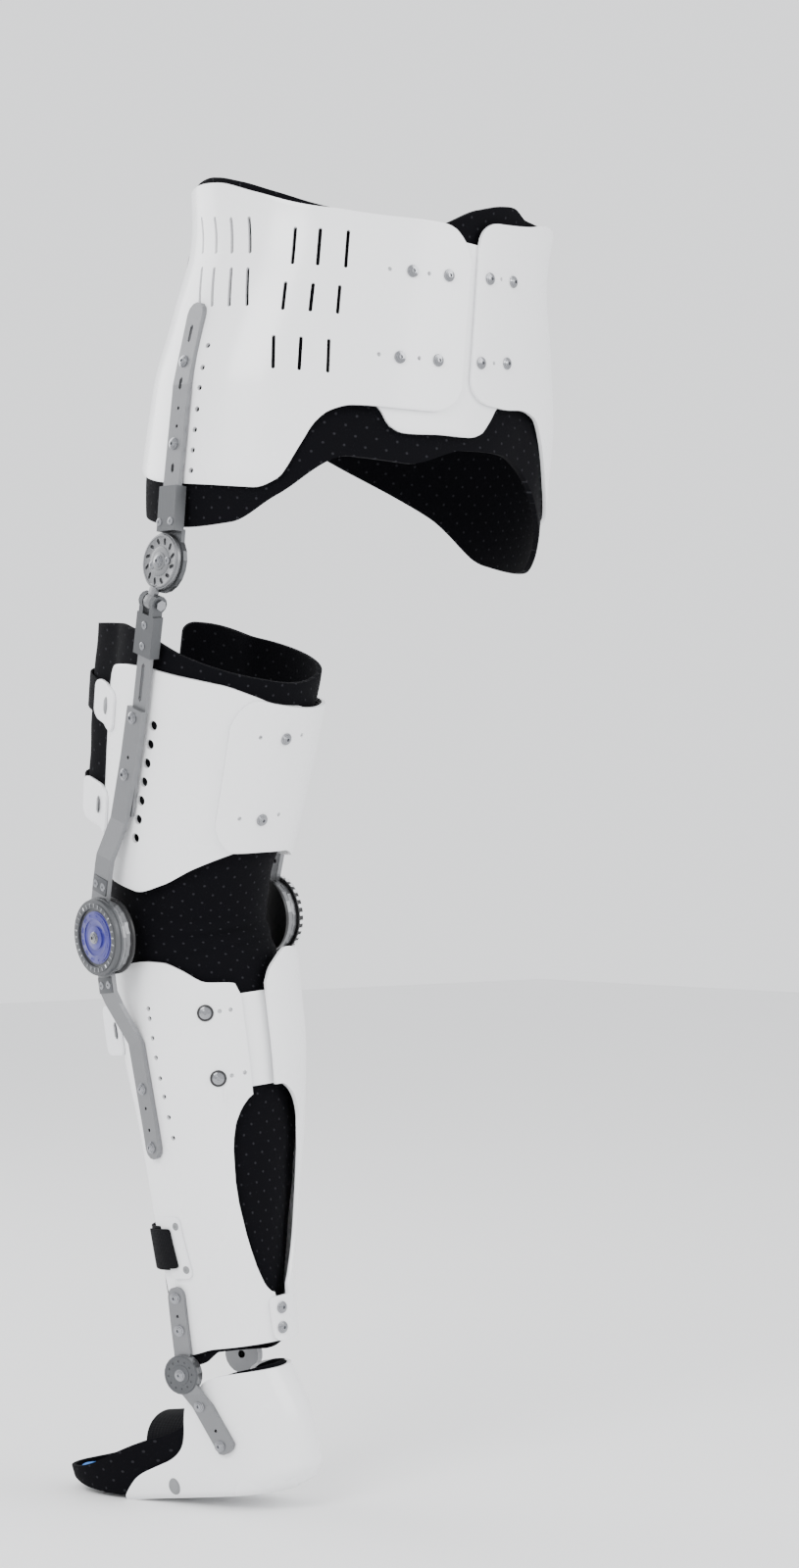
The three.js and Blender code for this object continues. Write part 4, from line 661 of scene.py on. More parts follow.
# a shell or plate, in the white of the shells
def settleShell(piece, place, body, node):
    return settle(piece, place, body, finishes["shell_white"], [node])


def settleLiner(piece, place, body, node):
    settle(piece, place, body, finishes["liner_black"], [node])


# pelvic band

pelvicBand = {
    "wall": 3.6, "gap": 0.3, "plateWall": 3.4, "linerWall": 5.0,
    "dip": {"middle": 2, "half": 30, "fade": 10, "depth": 4.0},
    "ripple": {"height": 0.35, "tall": 9, "sway": 3, "wide": 17},
    "left": [(1, -0.42, 0.62), (12, -0.45, 0.68), (32, -0.475, 0.667), (38, -0.52, 0.67), (42, -0.6, 0.675),
             (45.5, -0.74, 0.68), (51, -0.94, 0.685), (58, -1, 0.7), (74, -0.99, 0.77), (92, -0.965, 0.85),
             (108, -0.9, 0.87), (122, -0.78, 0.87), (138, -0.53, 0.8)],
    "right": [(-138, -0.53, 0.8), (-122, -0.62, 0.87), (-100, -0.8, 0.89), (-75, -0.88, 0.89),
              (-58, -0.86, 0.89), (-47, -0.72, 0.885), (-37, -0.45, 0.87), (-31, -0.33, 0.84),
              (-25, -0.31, 0.81), (-14, -0.34, 0.77), (-2, -0.34, 0.74)],
    "plate": [(-25, -0.28, 0.6), (-14, -0.32, 0.6), (-11, -0.42, 0.6), (-8, -0.51, 0.6), (-4, -0.55, 0.6),
              (6, -0.57, 0.6), (17, -0.595, 0.6), (21, -0.565, 0.6), (24, -0.48, 0.6), (29, -0.4, 0.6)],
    "liner": [(-168, -0.4, 0.75), (-122, -0.8, 0.85), (-100, -1.1, 0.87), (-72, -1.18, 0.86),
              (-48, -0.95, 0.86), (-27, -0.64, 0.86), (-19, -0.6, 0.9), (-3, -0.63, 0.82),
              (15, -0.765, 0.66), (31, -0.765, 0.65), (51, -1.03, 0.7), (66, -1.2, 0.77),
              (83, -1.23, 0.85), (100, -1.19, 0.9), (122, -1.08, 0.9), (168, -0.4, 0.75)],
    "screws": [(20.4, 54), (8.7, 56), (-6.5, 62), (-17.3, 66), (20.6, -24), (9.4, -21), (-4.8, -15),
               (-15.1, -9)],
    "smallHoles": [(27.3, 53), (15.1, 54.5), (26.5, -24), (15, -22)],
    "rightHoles": [(-11.6, 65), (-9.8, -12)],
    "barHoles": [(79.5, z) for z in (-25, -45, -63, -82, -100, -118, -136)],
    "longSlots": [((103.5, 100), (98.6, 67)), ((93.4, 96), (89.4, 64)), ((84.4, 93), (81.2, 62)),
                  ((76.2, 92), (73.4, 61)), ((95.6, 51), (89.6, 15)), ((87.6, 48), (83, 13)),
                  ((79, 46), (75.4, 12)), ((72, 45), (68.6, 12))],
    "middleSlots": [((58.6, 82), (57.2, 51)), ((50.4, 82), (49.2, 51)), ((41.6, 82), (40.6, 51)),
                    ((57.4, 32), (56.4, 9)), ((48.8, 32), (48, 9)), ((40.8, 32), (40, 9)),
                    ((57, -17), (55.2, -44)), ((48.8, -17), (47.6, -44)), ((40.8, -17), (39.6, -44))],
    "slotWidth": 3.3, "frontStrapEnd": 128, "strapOut": 2.3, "strapWall": 2.0,
    "straps": {"upper": (0.22, 0.56), "lower": (-0.36, -0.02)},
}


def pelvicRipple(angle, up, s, t):
    ripple = pelvicBand["ripple"]
    wave = up / ripple["tall"] + ripple["sway"] * math.sin(angle / ripple["wide"])
    return ripple["height"] * math.sin(wave) - ripple["height"]


def buildPelvis():
    p = pelvicBand
    slots = p["longSlots"] + p["middleSlots"]
    cutters = [slotCutter(band, top, bottom, p["slotWidth"]) for top, bottom in slots]
    cutters += holesOn(band, p["smallHoles"], 4) + holesOn(band, p["barHoles"], 5)
    left = wallPiece("pelvicShellLeft", band, p["left"], 0, p["wall"], corner=24)
    settleShell(cut(left, cutters), pelvisFrame, "pelvis", "pelvic_shell_left")
    right = wallPiece("pelvicShellRight", band, p["right"], 0, p["wall"], corner=20)
    cut(right, holesOn(band, p["rightHoles"], 3.6))
    settleShell(right, pelvisFrame, "pelvis", "pelvic_shell_right")
    under = -p["wall"] - p["gap"]
    plate = wallPiece("lumbarPlate", band, p["plate"], under, p["plateWall"], corner=6)
    settleShell(plate, pelvisFrame, "pelvis", "lumbar_plate")
    liner = wallPiece("pelvicLiner", band, p["liner"], lambda a: under - linerDip(p["dip"], a),
                      p["linerWall"], corner=10, spacing=5, roundEdge=1.8, puff=pelvicRipple)
    settleLiner(liner, pelvisFrame, "pelvis", "pelvic_liner")
    seats = [pelvisFrame @ seatOn(band, angle, up, 0.2) for angle, up in p["screws"]]
    brightScrews("lumbarScrews", "domed", seats, "pelvis", ["lumbar_screw_%d" % (i + 1) for i in range(8)])
    end = p["frontStrapEnd"]
    for name, (low, high) in p["straps"].items():
        strap = wallPiece("pelvicStrap" + name.title(), band, [(end, low, high), (360 - end, low, high)],
                          p["strapOut"], p["strapWall"], corner=12, spacing=5, roundEdge=0.5)
        settle(strap, pelvisFrame, "pelvis", finishes["strap_black"], ["pelvic_strap_" + name])
    print("pelvic band done")


# hip hinge

hipHinge = {
    "radius": 25, "rim": 1.2, "inner": -1, "thick": 5.4, "ear": 7.5, "screwOut": 0.7, "pinsIn": 0.1,
    "face": [(22.4, 0), (22.0, -0.6), (13.5, -0.6), (13.1, 0), (8.5, 0), (8.2, 0.8)],
    "holes": 12, "holeRing": 18, "holeWidth": 3.2, "holeLength": 6.4, "holeTurn": 28,
    "tongueHalf": 4.5, "tongueLength": 16, "tongueMiddle": -29,
    "pins": [(10.6, 3), (-9, -6)], "barScrews": [(12, 177.4), (10.5, 103.5)],
    "socketPins": [(1, 34), (17, 34)], "clevisScrews": [(0, -21), (0, -40)],
}
alongX = Matrix(((0, 0, 1, 0), (1, 0, 0, 0), (0, 1, 0, 0), (0, 0, 0, 1)))


def buildHip():
    p = hipHinge
    top = p["thick"]
    steps = [(p["radius"], top - p["rim"]), (p["radius"] - p["rim"], top)]
    steps += [(radius, top + over) for radius, over in p["face"]]
    dial = turnedPiece(steps, sides=64, roundEdge=0.3)
    cutters = []
    for i in range(p["holes"]):
        spot = turned("Z", 360 / p["holes"] * i) @ Matrix.Translation((0, p["holeRing"], top))
        leaning = spot @ turned("Z", p["holeTurn"])
        cutters.append(holeCutter(leaning, p["holeWidth"], p["holeLength"], depth=6))
    cut(dial, cutters)
    tongue = block(Matrix.Translation((0, p["tongueMiddle"], top / 2)),
                   (2 * p["tongueHalf"], p["tongueLength"], top))
    applied(tongue, "BEVEL", width=0.6, segments=2)
    clearSelection()
    bpy.ops.mesh.primitive_cylinder_add(vertices=40, radius=p["ear"], depth=2 * p["tongueHalf"])
    ear = bpy.context.object
    ear.data.transform(Matrix.Translation((0, stance["boltDrop"], -p["inner"])) @ turned("Y", 90))
    rounded(ear, 0.6, 40)
    hinge = joined("hipDial", [dial, tongue, ear])
    place = linkFrame @ Matrix.Translation((p["inner"], 0, 0)) @ alongX
    settle(hinge, place, "hip_link", finishes["bar_grey"], ["hip_dial"])
    outside = p["inner"] + top
    seat = linkFrame @ Matrix.Translation((outside + p["screwOut"], 0, 0)) @ alongX
    brightScrews("hipDialScrew", "domed", [seat], "hip_link")
    seats = [linkFrame @ Matrix.Translation((outside - p["pinsIn"], y, z)) @ alongX for y, z in p["pins"]]
    brightScrews("hipDialPins", "flat", seats, "hip_link")
    seats = [seatOnNode("hip_bar", hipFrame, y, z) for y, z in p["barScrews"]]
    brightScrews("hipBarScrews", "domed", seats, "pelvis")
    seats = [seatOnNode("hip_socket", hipFrame, y, z) for y, z in p["socketPins"]]
    brightScrews("hipSocketPins", "flat", seats, "pelvis")
    seats = [seatOnNode("hip_clevis", thighFrame, y, z) for y, z in p["clevisScrews"]]
    brightScrews("clevisScrews", "flat", seats, "thigh")
    print("hip hinge done")


# closures: a white tab from either side over a black strap, with a rivet in each tab

closure = {"under": 0.3, "over": 4.2, "tabWall": 2.5, "strapWall": 2.0, "strapInset": 0.08, "rivetOut": 2.6}


def buildClosure(form, place, body, names, at, bulge):
    p = closure
    lateralName, medialName, strapName = names
    low, high, start, end = at["low"], at["high"], at["start"], at["end"]
    for node, rows, out in (
        (lateralName, [(start, low, high), (end, low, high)], p["under"]),
        (medialName, [(360 - end, low, high), (360 - start, low, high)], p["over"]),
    ):
        tab = wallPiece(node.replace("_", "") + "Piece", form, rows,
                        lambda a, out=out: out + p["tabWall"] + frontLift(a, bulge), p["tabWall"],
                        corner=9, spacing=3, roundEdge=0.9)
        settle(tab, place, body, finishes["tab_white"], [node])
    inset = (high - low) * p["strapInset"]
    rows = [(angle, low + inset, high - inset) for angle in (at["strapStart"], 360 - at["strapStart"])]
    strap = wallPiece(strapName.replace("_", "") + "Piece", form, rows, lambda a: frontLift(a, bulge),
                      p["strapWall"], spacing=4, roundEdge=0.5)
    settle(strap, place, body, finishes["strap_black"], [strapName])
    up = (low + high) / 2 * form["length"]
    lift = frontLift(at["rivetAt"], bulge)
    seats = [place @ seatOn(form, angle, up, out + p["rivetOut"] + lift)
             for angle, out in ((at["rivetAt"], p["under"]), (360 - at["rivetAt"], p["over"]))]
    fixings(strapName.replace("_", "") + "Rivets", "rivet", seats, body, rivetGrey)


# a small grey plate across a bar beside the knee dial, with its two screws

smallPlate = {"size": (21, 15, 1.2), "back": -11, "out": 0.4, "screwOut": 0.9, "screwShift": 5.6}


def kneePlate(name, node, place, body, up, side):
    p = smallPlate
    seat = seatOnNode(node, place, p["back"], up, side=side)
    piece = block(Matrix.Identity(4), p["size"])
    piece.name = name
    applied(piece, "BEVEL", width=0.35, segments=2)
    settle(piece, seat @ Matrix.Translation((0, 0, p["out"])), body, finishes["housing_grey"])
    shifts = (-p["screwShift"], p["screwShift"])
    seats = [seat @ Matrix.Translation((shift, 0, p["screwOut"])) for shift in shifts]
    brightScrews(name + "Screws", "flat", seats, body)


# thigh cuff

thighCuff = {
    "wall": 3.6, "over": 3.9, "linerWall": 5.0, "screwOut": 4.1, "bulge": 27, "plateUp": -267,
    "lateral": [(-22, -0.68, -0.27), (4, -0.68, -0.25), (18, -0.7, -0.225), (37, -0.745, -0.2),
                (56, -0.81, -0.195), (75, -0.85, -0.195), (95, -0.85, -0.21), (118, -0.8, -0.25)],
    "medial": [(-118, -0.78, -0.32), (-90, -0.8, -0.32), (-47, -0.75, -0.29), (-25, -0.705, -0.275),
               (6, -0.69, -0.245), (15, -0.69, -0.235), (29, -0.66, -0.27)],
    "liner": [(-160, -0.66, -0.2), (-110, -0.66, -0.2), (-60, -0.66, -0.2), (-20, -0.66, -0.2),
              (20, -0.66, -0.175), (58, -0.66, -0.14), (90, -0.66, -0.11), (108, -0.66, -0.115),
              (160, -0.66, -0.2)],
    "screws": [(-4, -110), (2, -185)], "barScrews": [(-2, -107), (-5, -161)],
    "smallHoles": [(12, -107), (-16, -109), (16, -183), (-10, -182)],
    "vents": [(71 + i, -111 - 17.8 * i) for i in range(7)],
    "closures": {
        "upper": {"low": -0.43, "high": -0.31, "start": 104, "end": 133, "strapStart": 120, "rivetAt": 118},
        "lower": {"low": -0.735, "high": -0.61, "start": 108, "end": 140, "strapStart": 120, "rivetAt": 125},
    },
}


def buildThigh():
    p = thighCuff
    lateral = wallPiece("thighShellLateral", thigh, p["lateral"], 0, p["wall"], corner=14)
    cut(lateral, holesOn(thigh, p["vents"], 9))
    settleShell(lateral, thighFrame, "thigh", "thigh_shell_lateral")
    medial = wallPiece("thighShellMedial", thigh, p["medial"], p["over"], p["wall"], corner=18)
    cut(medial, holesOn(thigh, p["smallHoles"], 4))
    settleShell(medial, thighFrame, "thigh", "thigh_shell_medial")
    seats = [thighFrame @ seatOn(thigh, angle, up, p["screwOut"]) for angle, up in p["screws"]]
    brightScrews("thighShellScrews", "domed", seats, "thigh", ["thigh_shell_screw_1", "thigh_shell_screw_2"])
    liner = wallPiece("thighLiner", thigh, p["liner"], lambda a: -p["over"] + frontLift(a, p["bulge"]),
                      p["linerWall"], corner=10, spacing=4.5, roundEdge=1.8, puff=waves(0.4, 8, 20))
    settleLiner(liner, thighFrame, "thigh", "thigh_liner")
    for level, at in p["closures"].items():
        names = ("thigh_tab_%s_lateral" % level, "thigh_tab_%s_medial" % level, "thigh_strap_" + level)
        buildClosure(thigh, thighFrame, "thigh", names, at, p["bulge"])
    seats = [seatOnNode("knee_bar_upper_lateral", thighFrame, y, z) for y, z in p["barScrews"]]
    brightScrews("thighBarScrews", "domed", seats, "thigh")
    kneePlate("kneePlateUpperLateral", "knee_bar_upper_lateral", thighFrame, "thigh", p["plateUp"], 1)
    kneePlate("kneePlateUpperMedial", "knee_bar_upper_medial", thighFrame, "thigh", p["plateUp"], -1)
    print("thigh cuff done")


# knee sleeve: rings of segment, up, wide, deep, side and back as shares of that segment

kneeSleeve = {
    "rings": [("shank", -0.174, 0.885, 0.91, -1.369, -0.063), ("shank", -0.06, 0.87, 0.92, -1.28, -0.05),
              ("thigh", -0.84, 0.745, 0.79, -0.84, -0.07), ("thigh", -0.664, 0.85, 0.89, -0.907, -0.138)],
    "wall": 6.0, "openHalf": 152, "columns": 96, "rows": 60, "bendLow": -50, "bendHigh": 60,
    "crease": {"up": -4, "spread": 26, "depth": 1.4, "pitch": 3.6, "sway": 1.2},
    "soft": {"height": 0.5, "inward": 0.6, "pitch": 11, "sway": 2.2, "turns": 1.5},
    "clothPerDegree": 1.25, "blendStart": (-70, 0, 26), "blendEnd": (-70, 16, -34),
}


def buildKneeSleeve():
    p, crease, soft = kneeSleeve, kneeSleeve["crease"], kneeSleeve["soft"]
    kneeUp = stance["kneePlace"][2]
    heights, values = [], []
    for segment, up, wide, deep, side, back in p["rings"]:
        isShank = segment == "shank"
        half = leg[segment + "Half"]
        heights.append(up * leg["shankLength"] if isShank else (up + 1) * leg["thighLength"])
        shift = stance["kneePlace"][0] if isShank else 0
        values.append((wide * half, deep * half, side * half + shift, back * half))
    lines = [smoothLine(heights, [row[i] for row in values]) for i in range(4)]

    def mapping(s, t):
        angle = p["openHalf"] * (1 - 2 * s)
        along = heights[0] + (heights[-1] - heights[0]) * t
        wide, deep, side, back = (line(along) for line in lines)
        bent = min(max((p["bendHigh"] - along) / (p["bendHigh"] - p["bendLow"]), 0), 1)
        lean = math.radians(stance["kneeFlexed"]) * bent * bent * (3 - 2 * bent)
        a = math.radians(angle)
        near = math.exp(-((along - crease["up"]) / crease["spread"]) ** 2) * max(math.cos(a), 0)
        wave = along / crease["pitch"] + crease["sway"] * math.sin(2 * a)
        fold = -crease["depth"] * near * (1 + math.cos(wave))
        slow = along / soft["pitch"] + soft["sway"] * math.sin(a * soft["turns"])
        out = fold + (soft["height"] * math.sin(slow) - soft["inward"])
        point = Vector((side + (wide + out) * math.sin(a), back + (deep + out) * math.cos(a), along))
        point = Matrix.Rotation(lean, 4, "X") @ point + Vector((0, 0, kneeUp))
        return point, (angle * p["clothPerDegree"] * millimetre, along * millimetre)
    sleeve = gridPiece("kneeSleeve", p["columns"], p["rows"], mapping)
    thickened(sleeve, p["wall"], 1.8)
    settle(sleeve, thighFrame, None, finishes["liner_black"], ["knee_liner"])
    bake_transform(sleeve)
    print("knee sleeve done")


# knee dials: each step is a radius, and a height from the dial's outer side

kneeDial = {
    "radius": 36, "outer": 25, "inner": 17.7, "medialShift": -162, "base": 2.2, "rim": 1.2,
    "ring": [(31.5, 0), (27.5, 0), (26.5, -2.6), (24.5, -2.6)],
    "face": [(24.0, -1.8), (22.6, -0.9), (17.5, -0.7), (16.8, -1.6), (11.5, -1.6), (10.8, -0.2), (7, 0)],
    "backRadius": 35, "backThick": 4.0, "backRim": 1, "backAt": -13.9,
    "spokes": 12, "spokeRing": 20.4, "spokeWidth": 1.8, "spokeLength": 5.2, "screwIn": 0.1,
    "teeth": 30, "lateralTooth": {"ring": 29.4, "size": (1.5, 3.4, 1.1)},
    "medialTooth": {"ring": 35.8, "up": 3.2, "size": (3.4, 1.8, 4.4)},
}


def buildKneeDials():
    p = kneeDial
    thick = p["outer"] - p["inner"]
    for side, label in ((1, "Lateral"), (-1, "Medial")):
        isLateral = side > 0
        shift = 0 if isLateral else p["medialShift"]
        middle = Matrix.Translation((shift + side * p["inner"], 0, stance["kneePlace"][2]))
        place = thighFrame @ middle @ turned("Z", 0 if isLateral else 180) @ alongX
        steps = [(p["radius"], p["base"]), (p["radius"] - p["rim"], thick - p["rim"])]
        steps += [(radius, thick + over) for radius, over in p["ring"]]
        ring = turnedPiece(steps, sides=72, roundEdge=0.4)
        ringFinish = finishes["housing_grey"] if isLateral else blackPlastic
        settle(ring, place, "thigh", ringFinish,
               ["knee_hub_" + label.lower()])
        steps = [(p["backRadius"], p["backThick"] - p["backRim"]),
                 (p["backRadius"] - p["backRim"], p["backThick"])]
        back = turnedPiece(steps, sides=56, roundEdge=0.4)
        settle(back, place @ Matrix.Translation((0, 0, p["backAt"])), "thigh", blackPlastic)
        face = turnedPiece([(radius, thick + over) for radius, over in p["face"]], sides=64, roundEdge=0.25)
        spokes = []
        for i in range(p["spokes"]):
            spot = turned("Z", 360 / p["spokes"] * i) @ Matrix.Translation((0, p["spokeRing"], thick))
            spokes.append(holeCutter(spot @ turned("Z", 90), p["spokeWidth"], p["spokeLength"], depth=2.4))
        settle(cut(face, spokes), place, "thigh", finishes["hub_violet"])
        seat = place @ Matrix.Translation((0, 0, thick - p["screwIn"]))
        brightScrews("kneeDialScrew" + label, "domed", [seat], "thigh")
        ring.name, back.name, face.name = "kneeRing" + label, "kneeBack" + label, "kneeFace" + label
        tooth = p["lateralTooth"] if isLateral else p["medialTooth"]
        toothMiddle = Matrix.Translation((0, tooth["ring"], tooth.get("up", thick)))
        turns = [turned("Z", 360 / p["teeth"] * i) for i in range(p["teeth"])]
        teeth = [block(turn @ toothMiddle, tooth["size"]) for turn in turns]
        rack = applied(joined("kneeRack" + label, teeth), "BEVEL", width=0.25, segments=1)
        settle(rack, place, "thigh", finishes["chrome"] if isLateral else finishes["tab_white"])
    print("knee dials done")


# calf cuff

calfCuff = {
    "wall": 3.6, "over": 3.9, "plateWall": 3.4, "linerWall": 5.0, "bulge": 20, "plateUp": -44,
    "lateral": [(3, -0.95, -0.85), (13, -0.95, -0.85), (14, -0.95, -0.17), (18, -0.95, -0.14),
                (36, -0.95, -0.13), (50, -0.95, -0.097), (62, -0.95, -0.075), (80, -0.95, -0.067),
                (108, -0.96, -0.085), (124, -0.96, -0.12)],
    "medial": [(-124, -0.96, -0.12), (-113, -0.95, -0.13), (-104, -0.95, -0.205), (-74, -0.95, -0.205),
               (-64, -0.95, -0.12), (-40, -0.95, -0.08), (-26, -0.95, -0.075), (-13, -0.95, -0.1),
               (-3, -0.95, -0.15), (-2, -0.95, -0.85), (23, -0.95, -0.85)],
    "window": [(-30, -0.62, -0.53), (-28, -0.68, -0.46), (-23, -0.735, -0.42), (-15, -0.78, -0.39),
               (-8, -0.81, -0.378), (3, -0.84, -0.378), (14, -0.84, -0.392), (22, -0.825, -0.415),
               (29, -0.775, -0.455), (33, -0.7, -0.51), (35, -0.63, -0.58)],
    "plate": [(-30, -0.375, -0.165), (46, -0.375, -0.165)],
    "liner": [(-160, -0.985, -0.178), (-80, -0.985, -0.178), (-40, -0.956, -0.178), (75, -0.956, -0.178),
              (105, -0.985, -0.178), (160, -0.985, -0.178)],
    "dip": {"middle": 8, "half": 42, "fade": 12, "depth": 4.0},
    "screws": [(38, -80), (36, -140)], "screwRise": 0.9, "barScrews": [(-4.5, -142), (-4.5, -196)],
    "seamScrews": [(11, -354), (13, -372)], "seamOut": 4.1,
    "smallHoles": [(29, -80), (22, -80), (27, -139), (18, -138)],
    "barHoles": [(76, z) for z in (-70, -79, -97, -115, -134, -151, -170, -189)],
    "crease": {"up": -159, "from": 14, "to": 62, "depth": 0.9, "spread": 2.5},
    "closure": {"low": -0.275, "high": -0.16, "start": 112, "end": 141, "strapStart": 127, "rivetAt": 124},
    "strap": {"from": 109, "to": 250, "low": -0.765, "high": -0.665, "out": 2.3, "wall": 2.0,
              "stepAt": 165, "stepLength": 10},
    "fold": {"from": 96, "to": 128, "low": -0.76, "high": -0.67, "out": 5.4, "wall": 1.9, "swell": 1.2,
             "turns": 5.6},
    "loop": {"from": 86, "to": 108, "low": -0.785, "high": -0.645, "out": 2.8, "wall": 2.5,
             "rivets": [(90, -269), (90, -309)], "rivetOut": 2.7},
}


def calfCrease(angle, up, s, t):
    crease = calfCuff["crease"]
    if not crease["from"] < angle < crease["to"]:
        return 0
    return -crease["depth"] * math.exp(-((up - crease["up"]) / crease["spread"]) ** 2)


# the lower strap lies on the shell, then steps up over the other shell's edge
def calfStrapOut(angle):
    p = calfCuff["strap"]
    step = closure["over"] - closure["under"]
    return p["out"] + step * min(max((angle - p["stepAt"]) / p["stepLength"], 0), 1)


def calfFoldOut(angle):
    p = calfCuff["fold"]
    return p["out"] + p["swell"] * math.sin(math.radians((angle - p["from"]) * p["turns"]))


def calfBand(name, p, outer, spacing, roundEdge, corner=0.0):
    rows = [(p["from"], p["low"], p["high"]), (p["to"], p["low"], p["high"])]
    return wallPiece(name, calf, rows, outer, p["wall"], corner=corner, spacing=spacing, roundEdge=roundEdge)


def buildCalf():
    p = calfCuff
    lateral = wallPiece("calfShellLateral", calf, p["lateral"], 0, p["wall"], corner=8, spacing=3.4,
                        puff=calfCrease, window=p["window"])
    cut(lateral, holesOn(calf, p["smallHoles"], 4) + holesOn(calf, p["barHoles"], 4.6))
    settleShell(lateral, shankFrame, "shank", "calf_shell_lateral")
    medial = wallPiece("calfShellMedial", calf, p["medial"], p["over"], p["wall"], corner=8, spacing=3.6,
                       window=p["window"])
    settleShell(medial, shankFrame, "shank", "calf_shell_medial")
    plate = wallPiece("calfPlate", calf, p["plate"], -p["over"], p["plateWall"], corner=8)
    settleShell(plate, shankFrame, "shank", "calf_plate")
    liner = wallPiece("calfLiner", calf, p["liner"], lambda a: -p["over"] - linerDip(p["dip"], a),
                      p["linerWall"], corner=6, spacing=4.5, roundEdge=1.8, puff=waves(0.4, 9, 25))
    settleLiner(liner, shankFrame, "shank", "calf_liner")
    seats = [shankFrame @ seatOn(calf, angle, up, 0.1) for angle, up in p["screws"]]
    fixings("calfWashers", "washer", seats, "shank", blackPlastic)
    raised = [seat @ Matrix.Translation((0, 0, p["screwRise"])) for seat in seats]
    brightScrews("calfScrews", "domed", raised, "shank", ["calf_plate_screw_1", "calf_plate_screw_2"])
    seats = [shankFrame @ seatOn(calf, angle, up, p["seamOut"]) for angle, up in p["seamScrews"]]
    brightScrews("calfSeamScrews", "domed", seats, "shank", ["calf_seam_screw_1", "calf_seam_screw_2"])
    names = ("calf_tab_lateral", "calf_tab_medial", "calf_strap_upper")
    buildClosure(calf, shankFrame, "shank", names, p["closure"], p["bulge"])
    strap = calfBand("calfStrapLower", p["strap"], calfStrapOut, spacing=3, roundEdge=0.5)
    settle(strap, shankFrame, "shank", finishes["strap_black"], ["calf_strap_lower"])
    fold = calfBand("calfStrapFold", p["fold"], calfFoldOut, spacing=2, roundEdge=0.6, corner=3)
    settle(fold, shankFrame, "shank", finishes["strap_black"])
    loop = calfBand("calfLoop", p["loop"], p["loop"]["out"], spacing=2, roundEdge=0.7, corner=5)
    settle(loop, shankFrame, "shank", finishes["tab_white"], ["calf_loop"])
    seats = [shankFrame @ seatOn(calf, angle, up, p["loop"]["rivetOut"]) for angle, up in p["loop"]["rivets"]]
    fixings("calfLoopRivets", "flat", seats, "shank", rivetGrey)
    seats = [seatOnNode("knee_bar_lower_lateral", shankFrame, y, z) for y, z in p["barScrews"]]
    brightScrews("calfBarScrews", "domed", seats, "shank")
    kneePlate("kneePlateLowerLateral", "knee_bar_lower_lateral", shankFrame, "shank", p["plateUp"], 1)
    kneePlate("kneePlateLowerMedial", "knee_bar_lower_medial", shankFrame, "shank", p["plateUp"], -1)
    print("calf cuff done")


# ankle discs

ankleJoint = {
    "radius": 17.6, "rim": 0.8, "rimHeight": 1.3, "base": 0.6,
    "holes": 12, "holeRing": 12.6, "holeWidth": 2.2,
    "face": [(15.6, 1.3), (15.2, 0.9), (9.6, 0.9), (9.2, 1.5)], "screwOut": 1.4,
    "seat": (1, 9), "plateScrews": [(4.2, 70), (2.6, 40)], "armScrews": [(12.5, -30), (29, -67)],
}


def buildAnkle():
    p = ankleJoint
    for side, label in ((1, "Lateral"), (-1, "Medial")):
        lower, upper = ("ankle_bar_%s_%s" % (level, label.lower()) for level in ("lower", "upper"))
        offset = seatOnNode(lower, footFrame, *p["seat"], side=side).translation - footFrame.translation
        out = offset.dot(footFrame.to_3x3() @ Vector((side, 0, 0)))
        outward = turned("Z", 0 if side > 0 else 180) @ alongX
        place = footFrame @ Matrix.Translation((side * out, 0, 0)) @ outward
        steps = [(p["radius"], p["base"]), (p["radius"] - p["rim"], p["rimHeight"])]
        disc = turnedPiece(steps + p["face"], sides=48, roundEdge=0.2)
        cutters = []
        for i in range(p["holes"]):
            spot = turned("Z", 360 / p["holes"] * i) @ Matrix.Translation((0, p["holeRing"], 1))
            cutters.append(holeCutter(spot, p["holeWidth"], depth=1.4, sides=12))
        cut(disc, cutters)
        disc.name = "ankleDisc" + label
        settle(disc, place, "foot", finishes["housing_grey"])
        seat = place @ Matrix.Translation((0, 0, p["screwOut"]))
        brightScrews("ankleScrew" + label, "domed", [seat], "foot")
        seats = [seatOnNode(upper, ankleFrame, y, z, side=side) for y, z in p["plateScrews"]]
        brightScrews("anklePlateScrews" + label, "domed", seats, "shank")
        seats = [seatOnNode(lower, footFrame, y, z, side=side) for y, z in p["armScrews"]]
        brightScrews("ankleArmScrews" + label, "domed", seats, "foot")
    print("ankle joint done")


# foot: levels are up, and how far the side and the heel lie in there

footPiece = {
    "length": 268, "half": 46, "drop": 115, "heelBack": 97, "toeRise": 20, "middle": -54.0,
    "springFrom": 0.66, "springOver": 0.34, "springPower": 1.6, "top": 0.02, "columns": 120, "rows": 26,
    "wall": 3.6, "linerGap": 4.5, "linerWall": 4.0, "rivet": (-30, -103),
    "insole": {"heel": 22, "side": 13, "middle": -45, "up": -105.6, "wall": 4.0},
    "strap": {"half": 37.2, "low": -71.3, "rise": 31, "front": -59.8, "back": -11.5, "wall": 2.0},
    "plan": [(0, 0), (0.012, 0.34), (0.055, 0.68), (0.14, 0.94), (0.3, 1), (0.55, 0.96), (0.74, 1.02),
             (0.87, 0.89), (0.95, 0.6), (0.988, 0.3), (1, 0)],
    "levels": [(-1, 7, 22), (-0.95, 2, 10), (-0.8, 0, 0), (-0.45, 0, 4), (0.02, 1, 22)],
    "shellSide": [(0.17, -0.045), (0.6, -0.03), (1.2, -0.07), (1.2, -1.1), (-0.76, -1.1), (-0.76, -0.98),
                  (-0.67, -0.87), (-0.58, -0.79), (-0.4, -0.73), (-0.24, -0.68), (-0.14, -0.6), (-0.1, -0.5),
                  (-0.08, -0.33), (-0.04, -0.22), (0.06, -0.17)],
    "linerSide": [(1.2, -0.02), (1.2, -1.1), (-1.6, -1.1), (-1.6, -0.72), (-1.35, -0.74), (-1.05, -0.7),
                  (-0.6, -0.54), (-0.2, -0.48), (0.05, -0.32), (0.2, -0.01)],
}


